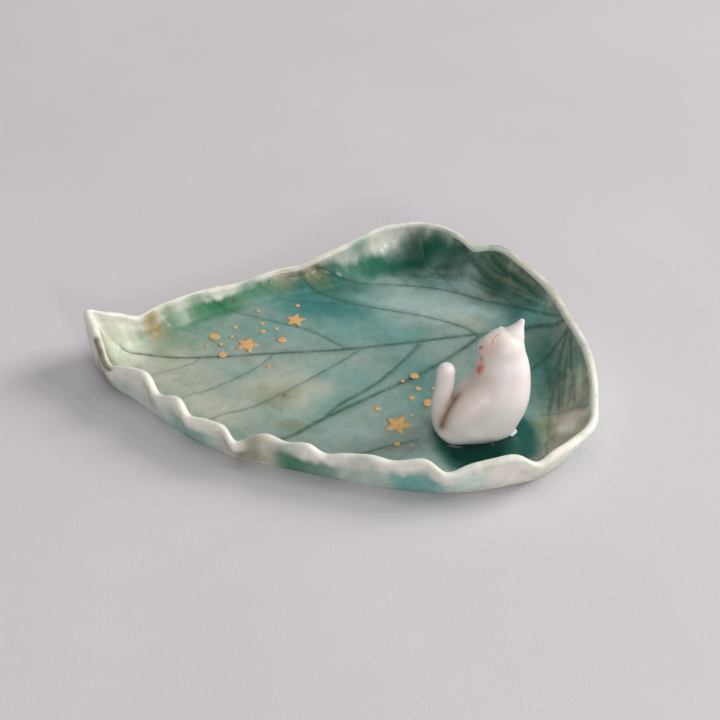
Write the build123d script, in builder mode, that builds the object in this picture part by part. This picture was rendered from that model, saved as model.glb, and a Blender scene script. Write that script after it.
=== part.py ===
from build123d import *
import math
import os

# A porcelain leaf dish with a small seated cat, gold stars and gold dots.
# Millimetres. +Z is up, +X runs from the leaf's tip to its stalk end, and the
# cat sits near the -Y edge. The origin is on the table under the dish's middle.

# Dish
LENGTH = 131.5          # tip to stalk end, over the rim
WIDTH = 98.0            # over the rim
TIP_HEIGHT = 15.8       # highest point of the rim, at the leaf's tip
SLAB = 3.0              # thickness of the flat floor
RIM_THICKNESS = 2.3     # thickness of the curled edge
WALL_RUN = 14.0         # widest stretch from floor to rim, at the stalk end
INNER_CURVE = 2.0       # power of the wall's rise inside, a pure number
OUTER_CURVE = 2.0       # the same outside
FOOT_INSET = 4.0        # how far the foot stands in from the rim
BELLY = 2.7             # how far the outer wall swells beside the tip
BELLY_SPREAD = 11.0     # how far along the rim the swelling fades
TOOTH_REACH = 5.5       # how far the fullest tooth stands out
TOOTH_LIFT = 2.4        # how far the fullest tooth stands up
FRONT_LEAN = 0.6        # power that leans the -Y teeth towards +X, a pure number

# Veins pressed into the floor
VEIN_DEPTH = 0.35
MIDRIB_WIDTH = 1.3
SIDE_VEIN_WIDTH = 0.9
VEIN_END_WIDTH = 0.3

# Cat
CAT_HEIGHT = 28.0       # floor to the top of the left ear
CAT_LENGTH = 22.0       # across the seated body, along X
CAT_DEPTH = 17.0        # across the seated body, along Y
HEAD_RADIUS = 5.4
MUZZLE_REACH = 7.0      # head's middle to the end of the nose
MUZZLE_RADIUS = 3.1
EAR_HEIGHT = 4.0
EAR_WIDTH = 5.8
TAIL_WIDTH = 6.4
TAIL_END_WIDTH = 4.6
NOSE_WIDTH = 1.6
EYE_SPAN = 3.0
EYE_LINE = 0.5
PAINT = 0.15            # thickness of the gold and of the painted nose

# Glaze pool round the cat
POOL_LENGTH = 38.0
POOL_WIDTH = 30.0
POOL_DEPTH = 0.5

# Gold stars and dots on the floor
STAR_WIDTH = 7.5        # the largest star, from arm to arm
LARGEST_DOT = 3.0
DOT_SIDES = 12          # straight sides that stand for a dot's round edge

CAT_X_SHARE = 0.279     # the cat's middle on the floor
CAT_Y_SHARE = -0.241
HEAD_TURN = 20.0        # degrees, from -X towards -Y
HEAD_LIFT = 20.0        # degrees, chin up
HEAD_TILT = 42.0        # degrees, laid over towards +Y
NOSE_FLATNESS = 0.8
TAIL_STEPS = 11         # sections along the tail
DOME_TURNS = [25.0, 50.0, 75.0]     # degrees, the rings that round the tail's end
SKULL_STEPS = 7         # bands over the skull
MUZZLE_STEPS = 3        # bands over the muzzle
BODY_SIDES = 24         # straight sides that stand for the cat's round sections
HEAD_SIDES = 20
TAIL_SIDES = 14
EAR_SIDES = 12
FRONT_STAR_TURN = 66.0  # degrees
TIP_STAR_TURN = 70.0
REAR_STAR_TURN = 80.0

# The cat by shares of its length, depth and height, from its middle on the
# floor. The body's rows are x, y, height, half length and half depth.
HEAD_SHARES = (0.20, 0.28, 0.725)
BODY_SHARES = [
    (-0.068, -0.055, 0.00, 0.377, 0.42),
    (-0.064, -0.050, 0.05, 0.42, 0.465),
    (-0.010, -0.020, 0.16, 0.427, 0.47),
    (0.136, 0.062, 0.33, 0.386, 0.435),
    (0.196, 0.156, 0.51, 0.323, 0.37),
    (0.178, 0.239, 0.66, 0.288, 0.32),
    (0.160, 0.265, 0.75, 0.235, 0.225),
]
EAR_ROOT_SHARES = (-0.27, 0.65, 0.50)
EAR_AIM_SHARES = (-0.46, 1.34, 0.95)
EAR_TAPER_SHARES = [(0.0, 1.0), (0.35, 0.68), (0.7, 0.39), (1.0, 0.21), (1.12, 0.10)]
RIGHT_EAR_SHARE = 0.70
EYE_SHARES = (0.75, 0.38, 0.54)
EYE_ARC_SHARES = [(-0.42, -0.26), (0.07, -0.15), (0.42, 0.26)]
NOSE_DROP_SHARE = 0.02
TAIL_SHARES = [
    (0.227, -0.190, 0.100),
    (0.045, -0.338, 0.100),
    (-0.180, -0.385, 0.105),
    (-0.366, -0.365, 0.112),
    (-0.460, -0.275, 0.180),
    (-0.482, -0.150, 0.310),
    (-0.452, -0.060, 0.464),
    (-0.436, 0.004, 0.616),
]
POOL_SHARES = [
    (-0.42, -0.10), (-0.40, -0.36), (-0.12, -0.52), (0.20, -0.50),
    (0.42, -0.30), (0.42, 0.02), (0.32, 0.28), (0.08, 0.34), (-0.24, 0.22),
]

# Stars as x, y and share of the largest width, dots as x, y and share of the
# largest dot. The tip and rear ones lie by shares of the dish's length and
# width, the front ones by shares of the pool's from the cat's middle.
TIP_STAR_SHARES = (-0.182, 0.078, 0.90)
REAR_STAR_SHARES = (-0.087, 0.186, 0.79)
FRONT_STAR_SHARES = (-0.554, -0.007, 1.0)
STAR_WAIST_SHARE = 0.46
FRONT_DOT_SHARES = [
    (-0.433, 0.617, 0.82), (-0.516, 0.549, 0.36), (-0.412, 0.451, 0.56),
    (-0.311, 0.451, 0.35), (-0.457, 0.330, 0.56), (-0.346, 0.268, 1.00),
    (-0.685, 0.193, 0.60), (-0.460, 0.105, 0.30), (-0.564, -0.238, 0.60),
    (-0.474, -0.252, 0.25),
]
TIP_DOT_SHARES = [
    (-0.250, 0.114, 1.00), (-0.230, 0.036, 0.80), (-0.209, 0.154, 0.50),
    (-0.262, 0.072, 0.42), (-0.235, 0.080, 0.40), (-0.215, 0.114, 0.36),
    (-0.156, 0.170, 0.45), (-0.153, 0.137, 0.54), (-0.125, 0.148, 0.42),
    (-0.112, 0.099, 0.84), (-0.136, -0.012, 0.40), (-0.166, 0.227, 0.38),
    (-0.084, 0.251, 0.44),
]

# Veins, from shares of the dish's length and width: the midrib from the
# stalk end to the tip, then the side veins from their roots outwards.
MIDRIB_SHARES = [
    (0.386, 0.168), (0.299, 0.129), (0.129, 0.086), (0.007, 0.059),
    (-0.129, 0.044), (-0.213, 0.032), (-0.314, 0.026), (-0.376, 0.036),
]
SIDE_VEIN_SHARES = [
    [(0.390, 0.245), (0.333, 0.277), (0.250, 0.317), (0.175, 0.334), (0.105, 0.350)],
    [(0.282, 0.129), (0.252, 0.160), (0.179, 0.203), (0.049, 0.253), (-0.062, 0.290)],
    [(0.017, 0.064), (-0.054, 0.139), (-0.114, 0.171), (-0.177, 0.204), (-0.232, 0.229)],
    [(0.297, 0.129), (0.256, 0.066), (0.174, -0.034), (0.076, -0.125), (-0.023, -0.218)],
    [(0.164, 0.077), (0.127, 0.002), (0.076, -0.084), (0.008, -0.164)],
    [(0.050, 0.064), (0.007, 0.007), (-0.086, -0.100), (-0.163, -0.175)],
    [(-0.125, 0.044), (-0.169, -0.028), (-0.245, -0.103)],
    [(-0.264, 0.030), (-0.302, -0.009), (-0.341, -0.037)],
]

# Rim, from the leaf's tip along the rear edge and back along the front edge.
# Each row is a notch and the tooth that follows it: the notch's x, y and
# height, the tooth's reach and lift, the wall's run inside and the foot's
# inset outside, and the number of points up to the next notch.
RIM_SHARES = [
    (-0.500, 0.068, 1.00, 0.10, 0.00, 0.65, 1.30, 4),
    (-0.408, 0.131, 0.59, 0.36, 0.00, 0.38, 1.00, 6),
    (-0.209, 0.310, 0.46, 0.08, 0.10, 0.50, 0.80, 4),
    (-0.086, 0.372, 0.56, -0.15, 0.20, 0.55, 0.80, 5),
    (0.087, 0.487, 0.87, 0.98, 0.40, 0.65, 1.00, 7),
    (0.298, 0.389, 0.87, 0.38, 0.20, 0.72, 1.00, 4),
    (0.382, 0.338, 0.87, 0.29, 0.00, 0.85, 1.00, 5),
    (0.473, 0.122, 0.65, 0.44, 0.50, 1.00, 1.10, 9),
    (0.492, -0.285, 0.64, 0.39, 0.20, 0.90, 1.00, 5),
    (0.371, -0.464, 0.61, -0.13, 1.00, 0.60, 0.90, 5),
    (0.201, -0.500, 0.60, -0.12, 0.80, 0.50, 0.55, 3),
    (0.101, -0.463, 0.63, -0.02, 0.35, 0.50, 0.45, 4),
    (-0.022, -0.428, 0.58, 0.00, 0.60, 0.50, 0.60, 3),
    (-0.095, -0.387, 0.58, -0.12, 0.70, 0.50, 0.45, 3),
    (-0.188, -0.373, 0.51, -0.12, 0.80, 0.45, 0.60, 4),
    (-0.280, -0.285, 0.57, -0.12, 0.90, 0.45, 0.35, 3),
    (-0.345, -0.202, 0.57, -0.20, 1.35, 0.45, 0.30, 4),
    (-0.447, -0.094, 0.60, 0.10, 0.45, 0.55, 0.45, 4),
]
BELLY_SHARES = (-0.486, 0.028)  # the swelling's middle, as x and y


def rim_points():
    """The rim's outer edge with its teeth, and the wall's runs and insets."""
    points, runs, insets = [], [], []
    for row, following in zip(RIM_SHARES, RIM_SHARES[1:] + RIM_SHARES[:1]):
        start = Vector(row[0] * LENGTH, row[1] * WIDTH, row[2] * TIP_HEIGHT)
        end = Vector(following[0] * LENGTH, following[1] * WIDTH, following[2] * TIP_HEIGHT)
        chord = end - start
        outward = Vector(-chord.Y, chord.X, 0).normalized()
        for step in range(row[7]):
            along = step / row[7]
            lean = FRONT_LEAN if row[1] < 0 else 1
            swell = math.sin(math.pi * along**lean)
            point = start + chord * along + outward * (row[3] * TOOTH_REACH * swell)
            points.append(point + Vector(0, 0, row[4] * TOOTH_LIFT * swell))
            runs.append(WALL_RUN * (row[5] + (following[5] - row[5]) * along))
            insets.append(FOOT_INSET * (row[6] + (following[6] - row[6]) * along))
    return points, runs, insets


def smoothed(values, passes):
    """A closed row of values, each averaged with its neighbours."""
    for _ in range(passes):
        values = [
            (values[i - 1] + values[i] * 2 + values[(i + 1) % len(values)]) / 4
            for i in range(len(values))
        ]
    return values


teeth, wall_runs, foot_insets = rim_points()
edge = smoothed(teeth, 8)
wall_runs = smoothed(wall_runs, 6)
foot_insets = smoothed(foot_insets, 6)
count = len(teeth)
outward = []
for i in range(count):
    along_edge = edge[(i + 1) % count] - edge[i - 1]
    outward.append(Vector(-along_edge.Y, along_edge.X, 0).normalized())
spacing = [(teeth[(i + 1) % count] - teeth[i]).length for i in range(count)]
stations = [sum(spacing[:i]) / sum(spacing) for i in range(count + 1)]


belly_middle = Vector(BELLY_SHARES[0] * LENGTH, BELLY_SHARES[1] * WIDTH, 0)
bellies = []
for point in edge:
    away = (Vector(point.X, point.Y, 0) - belly_middle).length / BELLY_SPREAD
    bellies.append(BELLY * math.exp(-away * away))


def wall_top(i, across):
    """The rim at meridian i, across running from 0 inside to 1 outside."""
    return teeth[i] - outward[i] * (RIM_THICKNESS * (1 - across)) - Vector(0, 0, RIM_THICKNESS / 2)


def inner_point(i, rise):
    """The wall's inside, from the floor's edge at 0 to the rim at 1."""
    start = edge[i] - outward[i] * wall_runs[i]
    start = Vector(start.X, start.Y, SLAB)
    reach = wall_top(i, 0) - start
    return start + Vector(reach.X * rise, reach.Y * rise, reach.Z * rise**INNER_CURVE)


def outer_point(i, rise):
    """The wall's outside, from the foot's edge at 0 to the rim at 1."""
    start = edge[i] - outward[i] * foot_insets[i]
    start = Vector(start.X, start.Y, 0)
    reach = wall_top(i, 1) - start
    swelling = outward[i] * (bellies[i] * math.sin(math.pi * rise))
    return start + Vector(reach.X * rise, reach.Y * rise, reach.Z * rise**OUTER_CURVE) + swelling


def crest_point(i, turn):
    """A point of the rounded rim, turn running from 0 inside to 1 outside."""
    inner, outer = wall_top(i, 0), wall_top(i, 1)
    across = (inner + outer) * 0.5 + (inner - outer) * (0.5 * math.cos(math.pi * turn))
    return across + Vector(0, 0, RIM_THICKNESS / 2 * math.sin(math.pi * turn))


def ring(point_at):
    """A closed smooth wire through one point on every meridian."""
    points = [point_at(i) for i in range(count)]
    return Wire([Edge.make_spline(points, periodic=True, parameters=stations)])


# The skins of the dish: the outer wall, the rounded rim and the inner wall, all
# in bands between smooth rings that dip and rise with the teeth, the flat foot
# below and the flat floor above.
OUTER_RISE_SHARES = [0.0, 0.15, 0.45, 0.73, 1.0]
INNER_RISE_SHARES = [0.0, 0.15, 0.35, 0.58, 0.80, 1.0]
TURN_SHARES = [0.0, 0.25, 0.5, 0.75, 1.0]
outer_rings = [ring(lambda i, r=rise: outer_point(i, r)) for rise in OUTER_RISE_SHARES]
rim_rings = [ring(lambda i, t=turn: crest_point(i, t)) for turn in TURN_SHARES]
inner_rings = [ring(lambda i, r=rise: inner_point(i, r)) for rise in INNER_RISE_SHARES]
skins = [Face(outer_rings[0]), Face(inner_rings[0])]
for rings in (outer_rings, rim_rings, inner_rings):
    skins += Shell.make_loft(rings, ruled=True).faces()


def side_points(points, start_width, end_width, side):
    """One side of a vein that narrows along its hand-drawn points."""
    shifted = []
    for i, point in enumerate(points):
        before, after = points[max(i - 1, 0)], points[min(i + 1, len(points) - 1)]
        run = Vector(after.X - before.X, after.Y - before.Y, 0).normalized()
        width = start_width + (end_width - start_width) * i / (len(points) - 1)
        shifted.append(point + Vector(-run.Y, run.X, 0) * (side * width / 2))
    return shifted


with BuildPart() as leaf_dish:
    add(Solid(Shell(skins)))
    with BuildSketch(Plane.XY.offset(SLAB)):
        for start_width, shares in [(MIDRIB_WIDTH, MIDRIB_SHARES)] + [
            (SIDE_VEIN_WIDTH, row) for row in SIDE_VEIN_SHARES
        ]:
            points = [Vector(x * LENGTH, y * WIDTH, 0) for x, y in shares]
            one_side = side_points(points, start_width, VEIN_END_WIDTH, 1)
            other_side = side_points(points, start_width, VEIN_END_WIDTH, -1)
            with BuildLine():
                Spline(*one_side)
                Spline(*other_side)
                Line(one_side[0], other_side[0])
                Line(one_side[-1], other_side[-1])
            make_face()
    extrude(amount=-VEIN_DEPTH, mode=Mode.SUBTRACT)
leaf_dish.part.label = "leaf_dish"


# The cat's seated body: a pear leaning back from the dish's edge, with its
# head turned to the leaf's tip, its chin lifted and its head laid over.
foot = Vector(CAT_X_SHARE * LENGTH, CAT_Y_SHARE * WIDTH, SLAB)


def cat_point(shares):
    """A point of the cat from shares of its length, depth and height."""
    return foot + Vector(shares[0] * CAT_LENGTH, shares[1] * CAT_DEPTH, shares[2] * CAT_HEIGHT)


facing = Vector(-1, 0, 0).rotate(Axis.Y, HEAD_LIFT).rotate(Axis.Z, HEAD_TURN)
head_middle = cat_point(HEAD_SHARES)
level_side = Vector(0, 0, 1).cross(facing).normalized()
left_side = level_side.rotate(Axis((0, 0, 0), facing), HEAD_TILT)
head_plane = Plane(origin=head_middle, x_dir=facing, z_dir=left_side * -1)


def head(growth):
    """Skull and muzzle drawn into one egg, thicker all over by the growth."""
    spacing = MUZZLE_REACH - MUZZLE_RADIUS
    tangent = math.acos((HEAD_RADIUS - MUZZLE_RADIUS) / spacing)
    skull_turns = [math.pi - (math.pi - tangent) * i / SKULL_STEPS for i in range(1, SKULL_STEPS + 1)]
    muzzle_turns = [tangent * (1 - i / MUZZLE_STEPS) for i in range(MUZZLE_STEPS)]
    rounds = [(0, HEAD_RADIUS + growth, turn) for turn in skull_turns]
    rounds += [(spacing, MUZZLE_RADIUS + growth, turn) for turn in muzzle_turns]
    with BuildPart() as egg:
        for centre, radius, turn in rounds:
            reach = centre + radius * math.cos(turn)
            with BuildSketch(Plane(origin=head_middle + facing * reach, x_dir=left_side, z_dir=facing)):
                RegularPolygon(radius * math.sin(turn), HEAD_SIDES)
        loft(ruled=True)
    return egg


cat_head = head(0)
cat_head.part.label = "cat_head"
head_skin = head(PAINT)


def head_point(forward, up, side):
    """A point by shares of the skull's radius along the head's own axes."""
    local = Vector(forward * HEAD_RADIUS, up * HEAD_RADIUS, -side * HEAD_RADIUS)
    return head_plane.from_local_coords(local)


def ear(side, height_share):
    """A pointed ear on one side of the head, 1 left and -1 right."""
    root = head_point(EAR_ROOT_SHARES[0], EAR_ROOT_SHARES[1], side * EAR_ROOT_SHARES[2])
    aim = head_point(EAR_AIM_SHARES[0], EAR_AIM_SHARES[1], side * EAR_AIM_SHARES[2])
    lean = (aim - root).normalized()
    width_axis = (facing - lean * facing.dot(lean)).normalized()
    tip = root + lean * (EAR_HEIGHT * height_share)
    with BuildPart() as cone:
        for along, share in EAR_TAPER_SHARES:
            middle = root + (tip - root) * along
            with BuildSketch(Plane(origin=middle, x_dir=width_axis, z_dir=lean)):
                RegularPolygon(EAR_WIDTH * share / 2, EAR_SIDES)
        loft(ruled=True)
        add(cat_head.part, mode=Mode.SUBTRACT)
    return cone


left_ear = ear(1, 1)
left_ear.part.label = "cat_left_ear"
right_ear = ear(-1, RIGHT_EAR_SHARE)
right_ear.part.label = "cat_right_ear"

tail_points = [cat_point(shares) for shares in TAIL_SHARES]
with BuildLine() as tail_line:
    Spline(*tail_points)


def tail_plane(along, rise):
    """A plane square to the tail, risen from its place along the line."""
    heading = tail_line.line % along
    return Plane(
        origin=tail_line.line @ along + heading * rise,
        x_dir=Vector(0, 1, 0).cross(heading),
        z_dir=heading,
    )


with BuildPart() as cat_tail:
    for step in range(TAIL_STEPS + 1):
        along = step / TAIL_STEPS
        width = TAIL_WIDTH + (TAIL_END_WIDTH - TAIL_WIDTH) * along
        with BuildSketch(tail_plane(along, 0)):
            RegularPolygon(width / 2, TAIL_SIDES)
    for turn in DOME_TURNS:
        rise = TAIL_END_WIDTH / 2 * math.sin(math.radians(turn))
        with BuildSketch(tail_plane(1, rise)):
            RegularPolygon(TAIL_END_WIDTH / 2 * math.cos(math.radians(turn)), TAIL_SIDES)
    loft(ruled=True)
    add(leaf_dish.part, mode=Mode.SUBTRACT)
cat_tail.part.label = "cat_tail"


def closed_eye(side):
    """A closed eye: a thin gold arc laid on the head's skin."""
    middle = head_point(EYE_SHARES[0], EYE_SHARES[1], side * EYE_SHARES[2])
    gaze = (middle - head_middle).normalized()
    ahead = (facing - gaze * facing.dot(gaze)).normalized()
    above = Vector(0, 1, 0) if side > 0 else Vector(0, -1, 0)
    arc_points = [Vector(x, 0, 0) * EYE_SPAN + above * (y * EYE_SPAN) for x, y in EYE_ARC_SHARES]
    with BuildPart() as arc:
        with BuildSketch(Plane(origin=head_middle, x_dir=ahead, z_dir=gaze)):
            SlotArc(ThreePointArc(*arc_points), EYE_LINE)
        extrude(amount=HEAD_RADIUS + MUZZLE_REACH)
        add(head_skin.part, mode=Mode.INTERSECT)
        add(cat_head.part, mode=Mode.SUBTRACT)
    return arc


left_eye = closed_eye(1)
left_eye.part.label = "cat_left_eye"
right_eye = closed_eye(-1)
right_eye.part.label = "cat_right_eye"

with BuildPart() as cat_nose:
    with BuildSketch(Plane(origin=head_middle, x_dir=left_side, z_dir=facing)):
        with Locations((0, HEAD_RADIUS * NOSE_DROP_SHARE)):
            Ellipse(NOSE_WIDTH / 2, NOSE_WIDTH * NOSE_FLATNESS / 2)
    extrude(amount=HEAD_RADIUS + MUZZLE_REACH)
    add(head_skin.part, mode=Mode.INTERSECT)
    add(cat_head.part, mode=Mode.SUBTRACT)
cat_nose.part.label = "cat_nose"


def eased(rows):
    """The rows with one more between each two, on a smooth curve through them."""
    filled = [rows[0]]
    for i, (row, following) in enumerate(zip(rows, rows[1:])):
        before, after = rows[max(i - 1, 0)], rows[min(i + 2, len(rows) - 1)]
        between = zip(before, row, following, after)
        filled.append([(9 * (b + c) - a - d) / 16 for a, b, c, d in between])
        filled.append(following)
    return filled


def oval(half_length, half_depth):
    """The corners of a many-sided oval about its middle."""
    turns = [2 * math.pi * i / BODY_SIDES for i in range(BODY_SIDES)]
    return [(half_length * math.cos(turn), half_depth * math.sin(turn)) for turn in turns]


with BuildPart() as cat_body:
    for x, y, height, half_length, half_depth in eased(BODY_SHARES):
        middle = cat_point((x, y, height))
        with BuildSketch(Plane.XY.offset(middle.Z)):
            with Locations((middle.X, middle.Y)):
                Polygon(*oval(half_length * CAT_LENGTH, half_depth * CAT_DEPTH), align=None)
    loft(ruled=True)
    for neighbour in (leaf_dish, cat_tail, cat_head, left_ear, right_ear, left_eye, right_eye, cat_nose):
        add(neighbour.part, mode=Mode.SUBTRACT)
cat_body.part.label = "cat_body"

# The pool of glaze that gathered round the cat's foot.
with BuildPart() as glaze_pool:
    with BuildSketch(Plane.XY.offset(SLAB)):
        with BuildLine():
            Spline(
                *[foot + Vector(x * POOL_LENGTH, y * POOL_WIDTH, -SLAB) for x, y in POOL_SHARES],
                periodic=True,
            )
        make_face()
    extrude(amount=POOL_DEPTH)
    for neighbour in (leaf_dish, cat_tail, cat_body):
        add(neighbour.part, mode=Mode.SUBTRACT)
glaze_pool.part.label = "glaze_pool"


def on_floor(rows):
    """Places by shares of the dish's length and width, in millimetres."""
    return [(x * LENGTH, y * WIDTH, share) for x, y, share in rows]


def beside_pool(rows):
    """Places by shares of the pool's length and width from the cat's middle."""
    return [(foot.X + x * POOL_LENGTH, foot.Y + y * POOL_WIDTH, share) for x, y, share in rows]


def star(place, turn):
    """A five-armed star of thin gold at its place on the floor."""
    x, y, width_share = place
    radius = STAR_WIDTH * width_share / 2
    with BuildPart() as foil:
        with BuildSketch(Plane.XY.offset(SLAB)):
            with Locations((x, y)):
                RegularPolygon(radius * STAR_WAIST_SHARE, 5, rotation=turn + 36)
            for i in range(5):
                angle = math.radians(turn + 72 * i)
                ends = [(radius, angle)]
                ends += [(radius * STAR_WAIST_SHARE, angle + math.radians(side)) for side in (-36, 36)]
                Polygon(*[(x + r * math.cos(t), y + r * math.sin(t)) for r, t in ends], align=None)
        extrude(amount=PAINT)
    return foil


def dots(places):
    """Round gold dots at their places, each by its share of the largest."""
    with BuildPart() as foil:
        with BuildSketch(Plane.XY.offset(SLAB)):
            for x, y, share in places:
                with Locations((x, y)):
                    RegularPolygon(LARGEST_DOT * share / 2, DOT_SIDES)
        extrude(amount=PAINT)
    return foil


front_star = star(beside_pool([FRONT_STAR_SHARES])[0], FRONT_STAR_TURN)
front_star.part.label = "front_star"
tip_star = star(on_floor([TIP_STAR_SHARES])[0], TIP_STAR_TURN)
tip_star.part.label = "tip_star"
rear_star = star(on_floor([REAR_STAR_SHARES])[0], REAR_STAR_TURN)
rear_star.part.label = "rear_star"
front_dots = dots(beside_pool(FRONT_DOT_SHARES))
front_dots.part.label = "front_dots"
tip_dots = dots(on_floor(TIP_DOT_SHARES))
tip_dots.part.label = "tip_dots"

os.makedirs("parts", exist_ok=True)
pieces = [leaf_dish, glaze_pool, cat_body, cat_head, left_ear, right_ear, cat_tail]
pieces += [left_eye, right_eye, cat_nose]
pieces += [front_star, tip_star, rear_star, front_dots, tip_dots]
for piece in pieces:
    export_step(piece.part, f"parts/{piece.part.label}.step")
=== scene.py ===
import math

import bpy
import numpy as np
from mathutils import Matrix, Vector
from mathutils.bvhtree import BVHTree


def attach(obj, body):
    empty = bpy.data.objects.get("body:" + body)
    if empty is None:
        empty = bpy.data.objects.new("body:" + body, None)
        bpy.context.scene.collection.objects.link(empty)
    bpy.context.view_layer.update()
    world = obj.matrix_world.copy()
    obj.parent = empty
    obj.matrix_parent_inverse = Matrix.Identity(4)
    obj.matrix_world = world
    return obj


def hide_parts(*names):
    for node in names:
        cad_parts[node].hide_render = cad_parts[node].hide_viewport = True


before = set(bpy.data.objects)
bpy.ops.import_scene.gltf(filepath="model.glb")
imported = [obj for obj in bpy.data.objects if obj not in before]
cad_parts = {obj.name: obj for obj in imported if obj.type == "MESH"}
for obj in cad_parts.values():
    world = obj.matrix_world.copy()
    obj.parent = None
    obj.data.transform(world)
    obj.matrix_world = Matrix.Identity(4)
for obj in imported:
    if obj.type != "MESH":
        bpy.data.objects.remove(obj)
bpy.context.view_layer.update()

# A porcelain leaf dish with a small seated cat, gold stars and gold dots.
# Places are in millimetres in the CAD's frame: +Z up, +X from the leaf's tip to
# its stalk end, the cat near the -Y edge. Meshes are made in metres.

MM = 0.001

# Dish, as in the CAD
LENGTH, WIDTH, TIP_HEIGHT = 131.5, 98, 15.8
SLAB, RIM_THICKNESS, WALL_RUN, FOOT_INSET = 3, 2.3, 14, 4
BELLY, BELLY_SPREAD, BELLY_AT = 2.7, 11, (-63.9, 2.7)
TOOTH_REACH, TOOTH_LIFT, FRONT_LEAN = 5.5, 2.4, 0.6
EDGE_PASSES, RUN_PASSES = 8, 6

# Notches and teeth of the rim: x, y and height, the tooth's reach and lift, the
# wall's run inside, the foot's inset, and the points up to the next notch.
RIM_SHARES = [
    (-0.5, 0.068, 1, 0.1, 0, 0.65, 1.3, 4),
    (-0.408, 0.131, 0.59, 0.36, 0, 0.38, 1, 6),
    (-0.209, 0.31, 0.46, 0.08, 0.1, 0.5, 0.8, 4),
    (-0.086, 0.372, 0.56, -0.15, 0.2, 0.55, 0.8, 5),
    (0.087, 0.487, 0.87, 0.98, 0.4, 0.65, 1, 7),
    (0.298, 0.389, 0.87, 0.38, 0.2, 0.72, 1, 4),
    (0.382, 0.338, 0.87, 0.29, 0, 0.85, 1, 5),
    (0.473, 0.122, 0.65, 0.44, 0.5, 1, 1.1, 9),
    (0.492, -0.285, 0.64, 0.39, 0.2, 0.9, 1, 5),
    (0.371, -0.464, 0.61, -0.13, 1, 0.6, 0.9, 5),
    (0.201, -0.5, 0.6, -0.12, 0.8, 0.5, 0.55, 3),
    (0.101, -0.463, 0.63, -0.02, 0.35, 0.5, 0.45, 4),
    (-0.022, -0.428, 0.58, 0, 0.6, 0.5, 0.6, 3),
    (-0.095, -0.387, 0.58, -0.12, 0.7, 0.5, 0.45, 3),
    (-0.188, -0.373, 0.51, -0.12, 0.8, 0.45, 0.6, 4),
    (-0.28, -0.285, 0.57, -0.12, 0.9, 0.45, 0.35, 3),
    (-0.345, -0.202, 0.57, -0.2, 1.35, 0.45, 0.3, 4),
    (-0.447, -0.094, 0.6, 0.1, 0.45, 0.55, 0.45, 4),
]

# Mesh of the dish: meridians round the leaf, rows from the floor's middle over
# the rim to the foot.
MERIDIANS = 1080
FLOOR_ROWS, INNER_ROWS, CREST_ROWS, OUTER_ROWS, FOOT_ROWS = 84, 34, 12, 26, 5
MIDDLE_ENDS = (-32, 30)     # the line that the floor's rows close on
FIT = 0.99994                   # keeps the curve through the teeth inside the CAD's box

# Veins, from root to end: width at root and end, strength, and their places.
VEINS = [
    (1, 0.5, 1, [
        (61.6, 10.2), (57.4, 11.4), (51, 13.9), (39.3, 12.6), (17, 8.4), (0.9, 5.8), (-17, 4.3),
        (-28, 3.1), (-41.3, 2.5), (-50, 3.6), (-57, 5)
    ]),
    (0.8, 0.6, 0.8, [
        (61.4, 11), (57.8, 13.9), (51.4, 19.8), (45.5, 24), (40.2, 27.1), (29.4, 32), (20.1, 33.8),
        (9, 34.7), (1.5, 35.4), (-4.1, 35.6), (-9, 35.8)
    ]),
    (0.6, 0.4, 0.6, [(33.1, 31.3), (30.4, 35.3), (27.3, 38.9), (25, 41.5), (23.5, 45)]),
    (0.6, 0.4, 0.4, [(20.1, 33.8), (17, 38), (12.5, 42.5)]),
    (0.7, 0.5, 0.8, [
        (37.1, 12.6), (33.2, 15.7), (23.6, 20), (6.4, 24.9), (-2, 28.5), (-7.5, 32), (-12, 35)
    ]),
    (0.6, 0.4, 0.4, [(6.4, 24.9), (-6, 26), (-15, 27.5), (-22, 30.5)]),
    (0.7, 0.4, 0.65, [(2.2, 6.3), (-7.1, 13.6), (-14.9, 16.8), (-23.3, 20), (-32.5, 23.5), (-38, 24.5)]),
    (0.5, 0.3, 0.4, [(-27, 3.4), (-33, 9), (-40, 13.5), (-47, 16)]),
    (0.9, 0.9, 1, [
        (39, 12.6), (33.7, 6.5), (22.9, -3.3), (10, -12.2), (-3, -21.3), (-9.2, -26.5), (-14, -29.5),
        (-19, -34)
    ]),
    (0.8, 0.9, 0.9, [(21.6, 7.5), (16.7, 0.2), (10.1, -8.2), (1.1, -16), (-3.3, -21.7)]),
    (0.6, 0.4, 0.7, [(6.6, 6.3), (0.9, 0.7), (-11.3, -9.7), (-21.4, -17.1), (-29.3, -20.2), (-34, -24.5)]),
    (0.6, 0.4, 0.55, [(-16.3, 4.3), (-22.2, -2.7), (-32.2, -10.1), (-37.3, -12.2), (-44, -16.5)]),
    (0.5, 0.3, 0.45, [(-34.7, 3), (-39.6, -0.8), (-48.6, -5), (-54, -8.5)]),
    (0.8, 0.5, 0.8, [
        (61.7, 8.6), (59.3, 5.7), (56.1, 2.7), (51.5, -1.8), (39.3, -14.5), (23.5, -27.5), (13, -31.5),
        (4, -35.5), (-4, -39.5)
    ]),
    (0.5, 0.4, 0.35, [(23.5, -27.5), (14, -38), (9, -43)]),
    (0.6, 0.4, 0.5, [(54, 0.6), (54.8, -8), (54, -20), (52, -30), (51, -38)]),
    (0.7, 0.4, 0.45, [(50, -19.8), (54.8, -20.2), (59.6, -20.8), (63, -23.5)]),
]
VEIN_DEPTH, VEIN_SHADE = 0.2, 0.16

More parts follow.
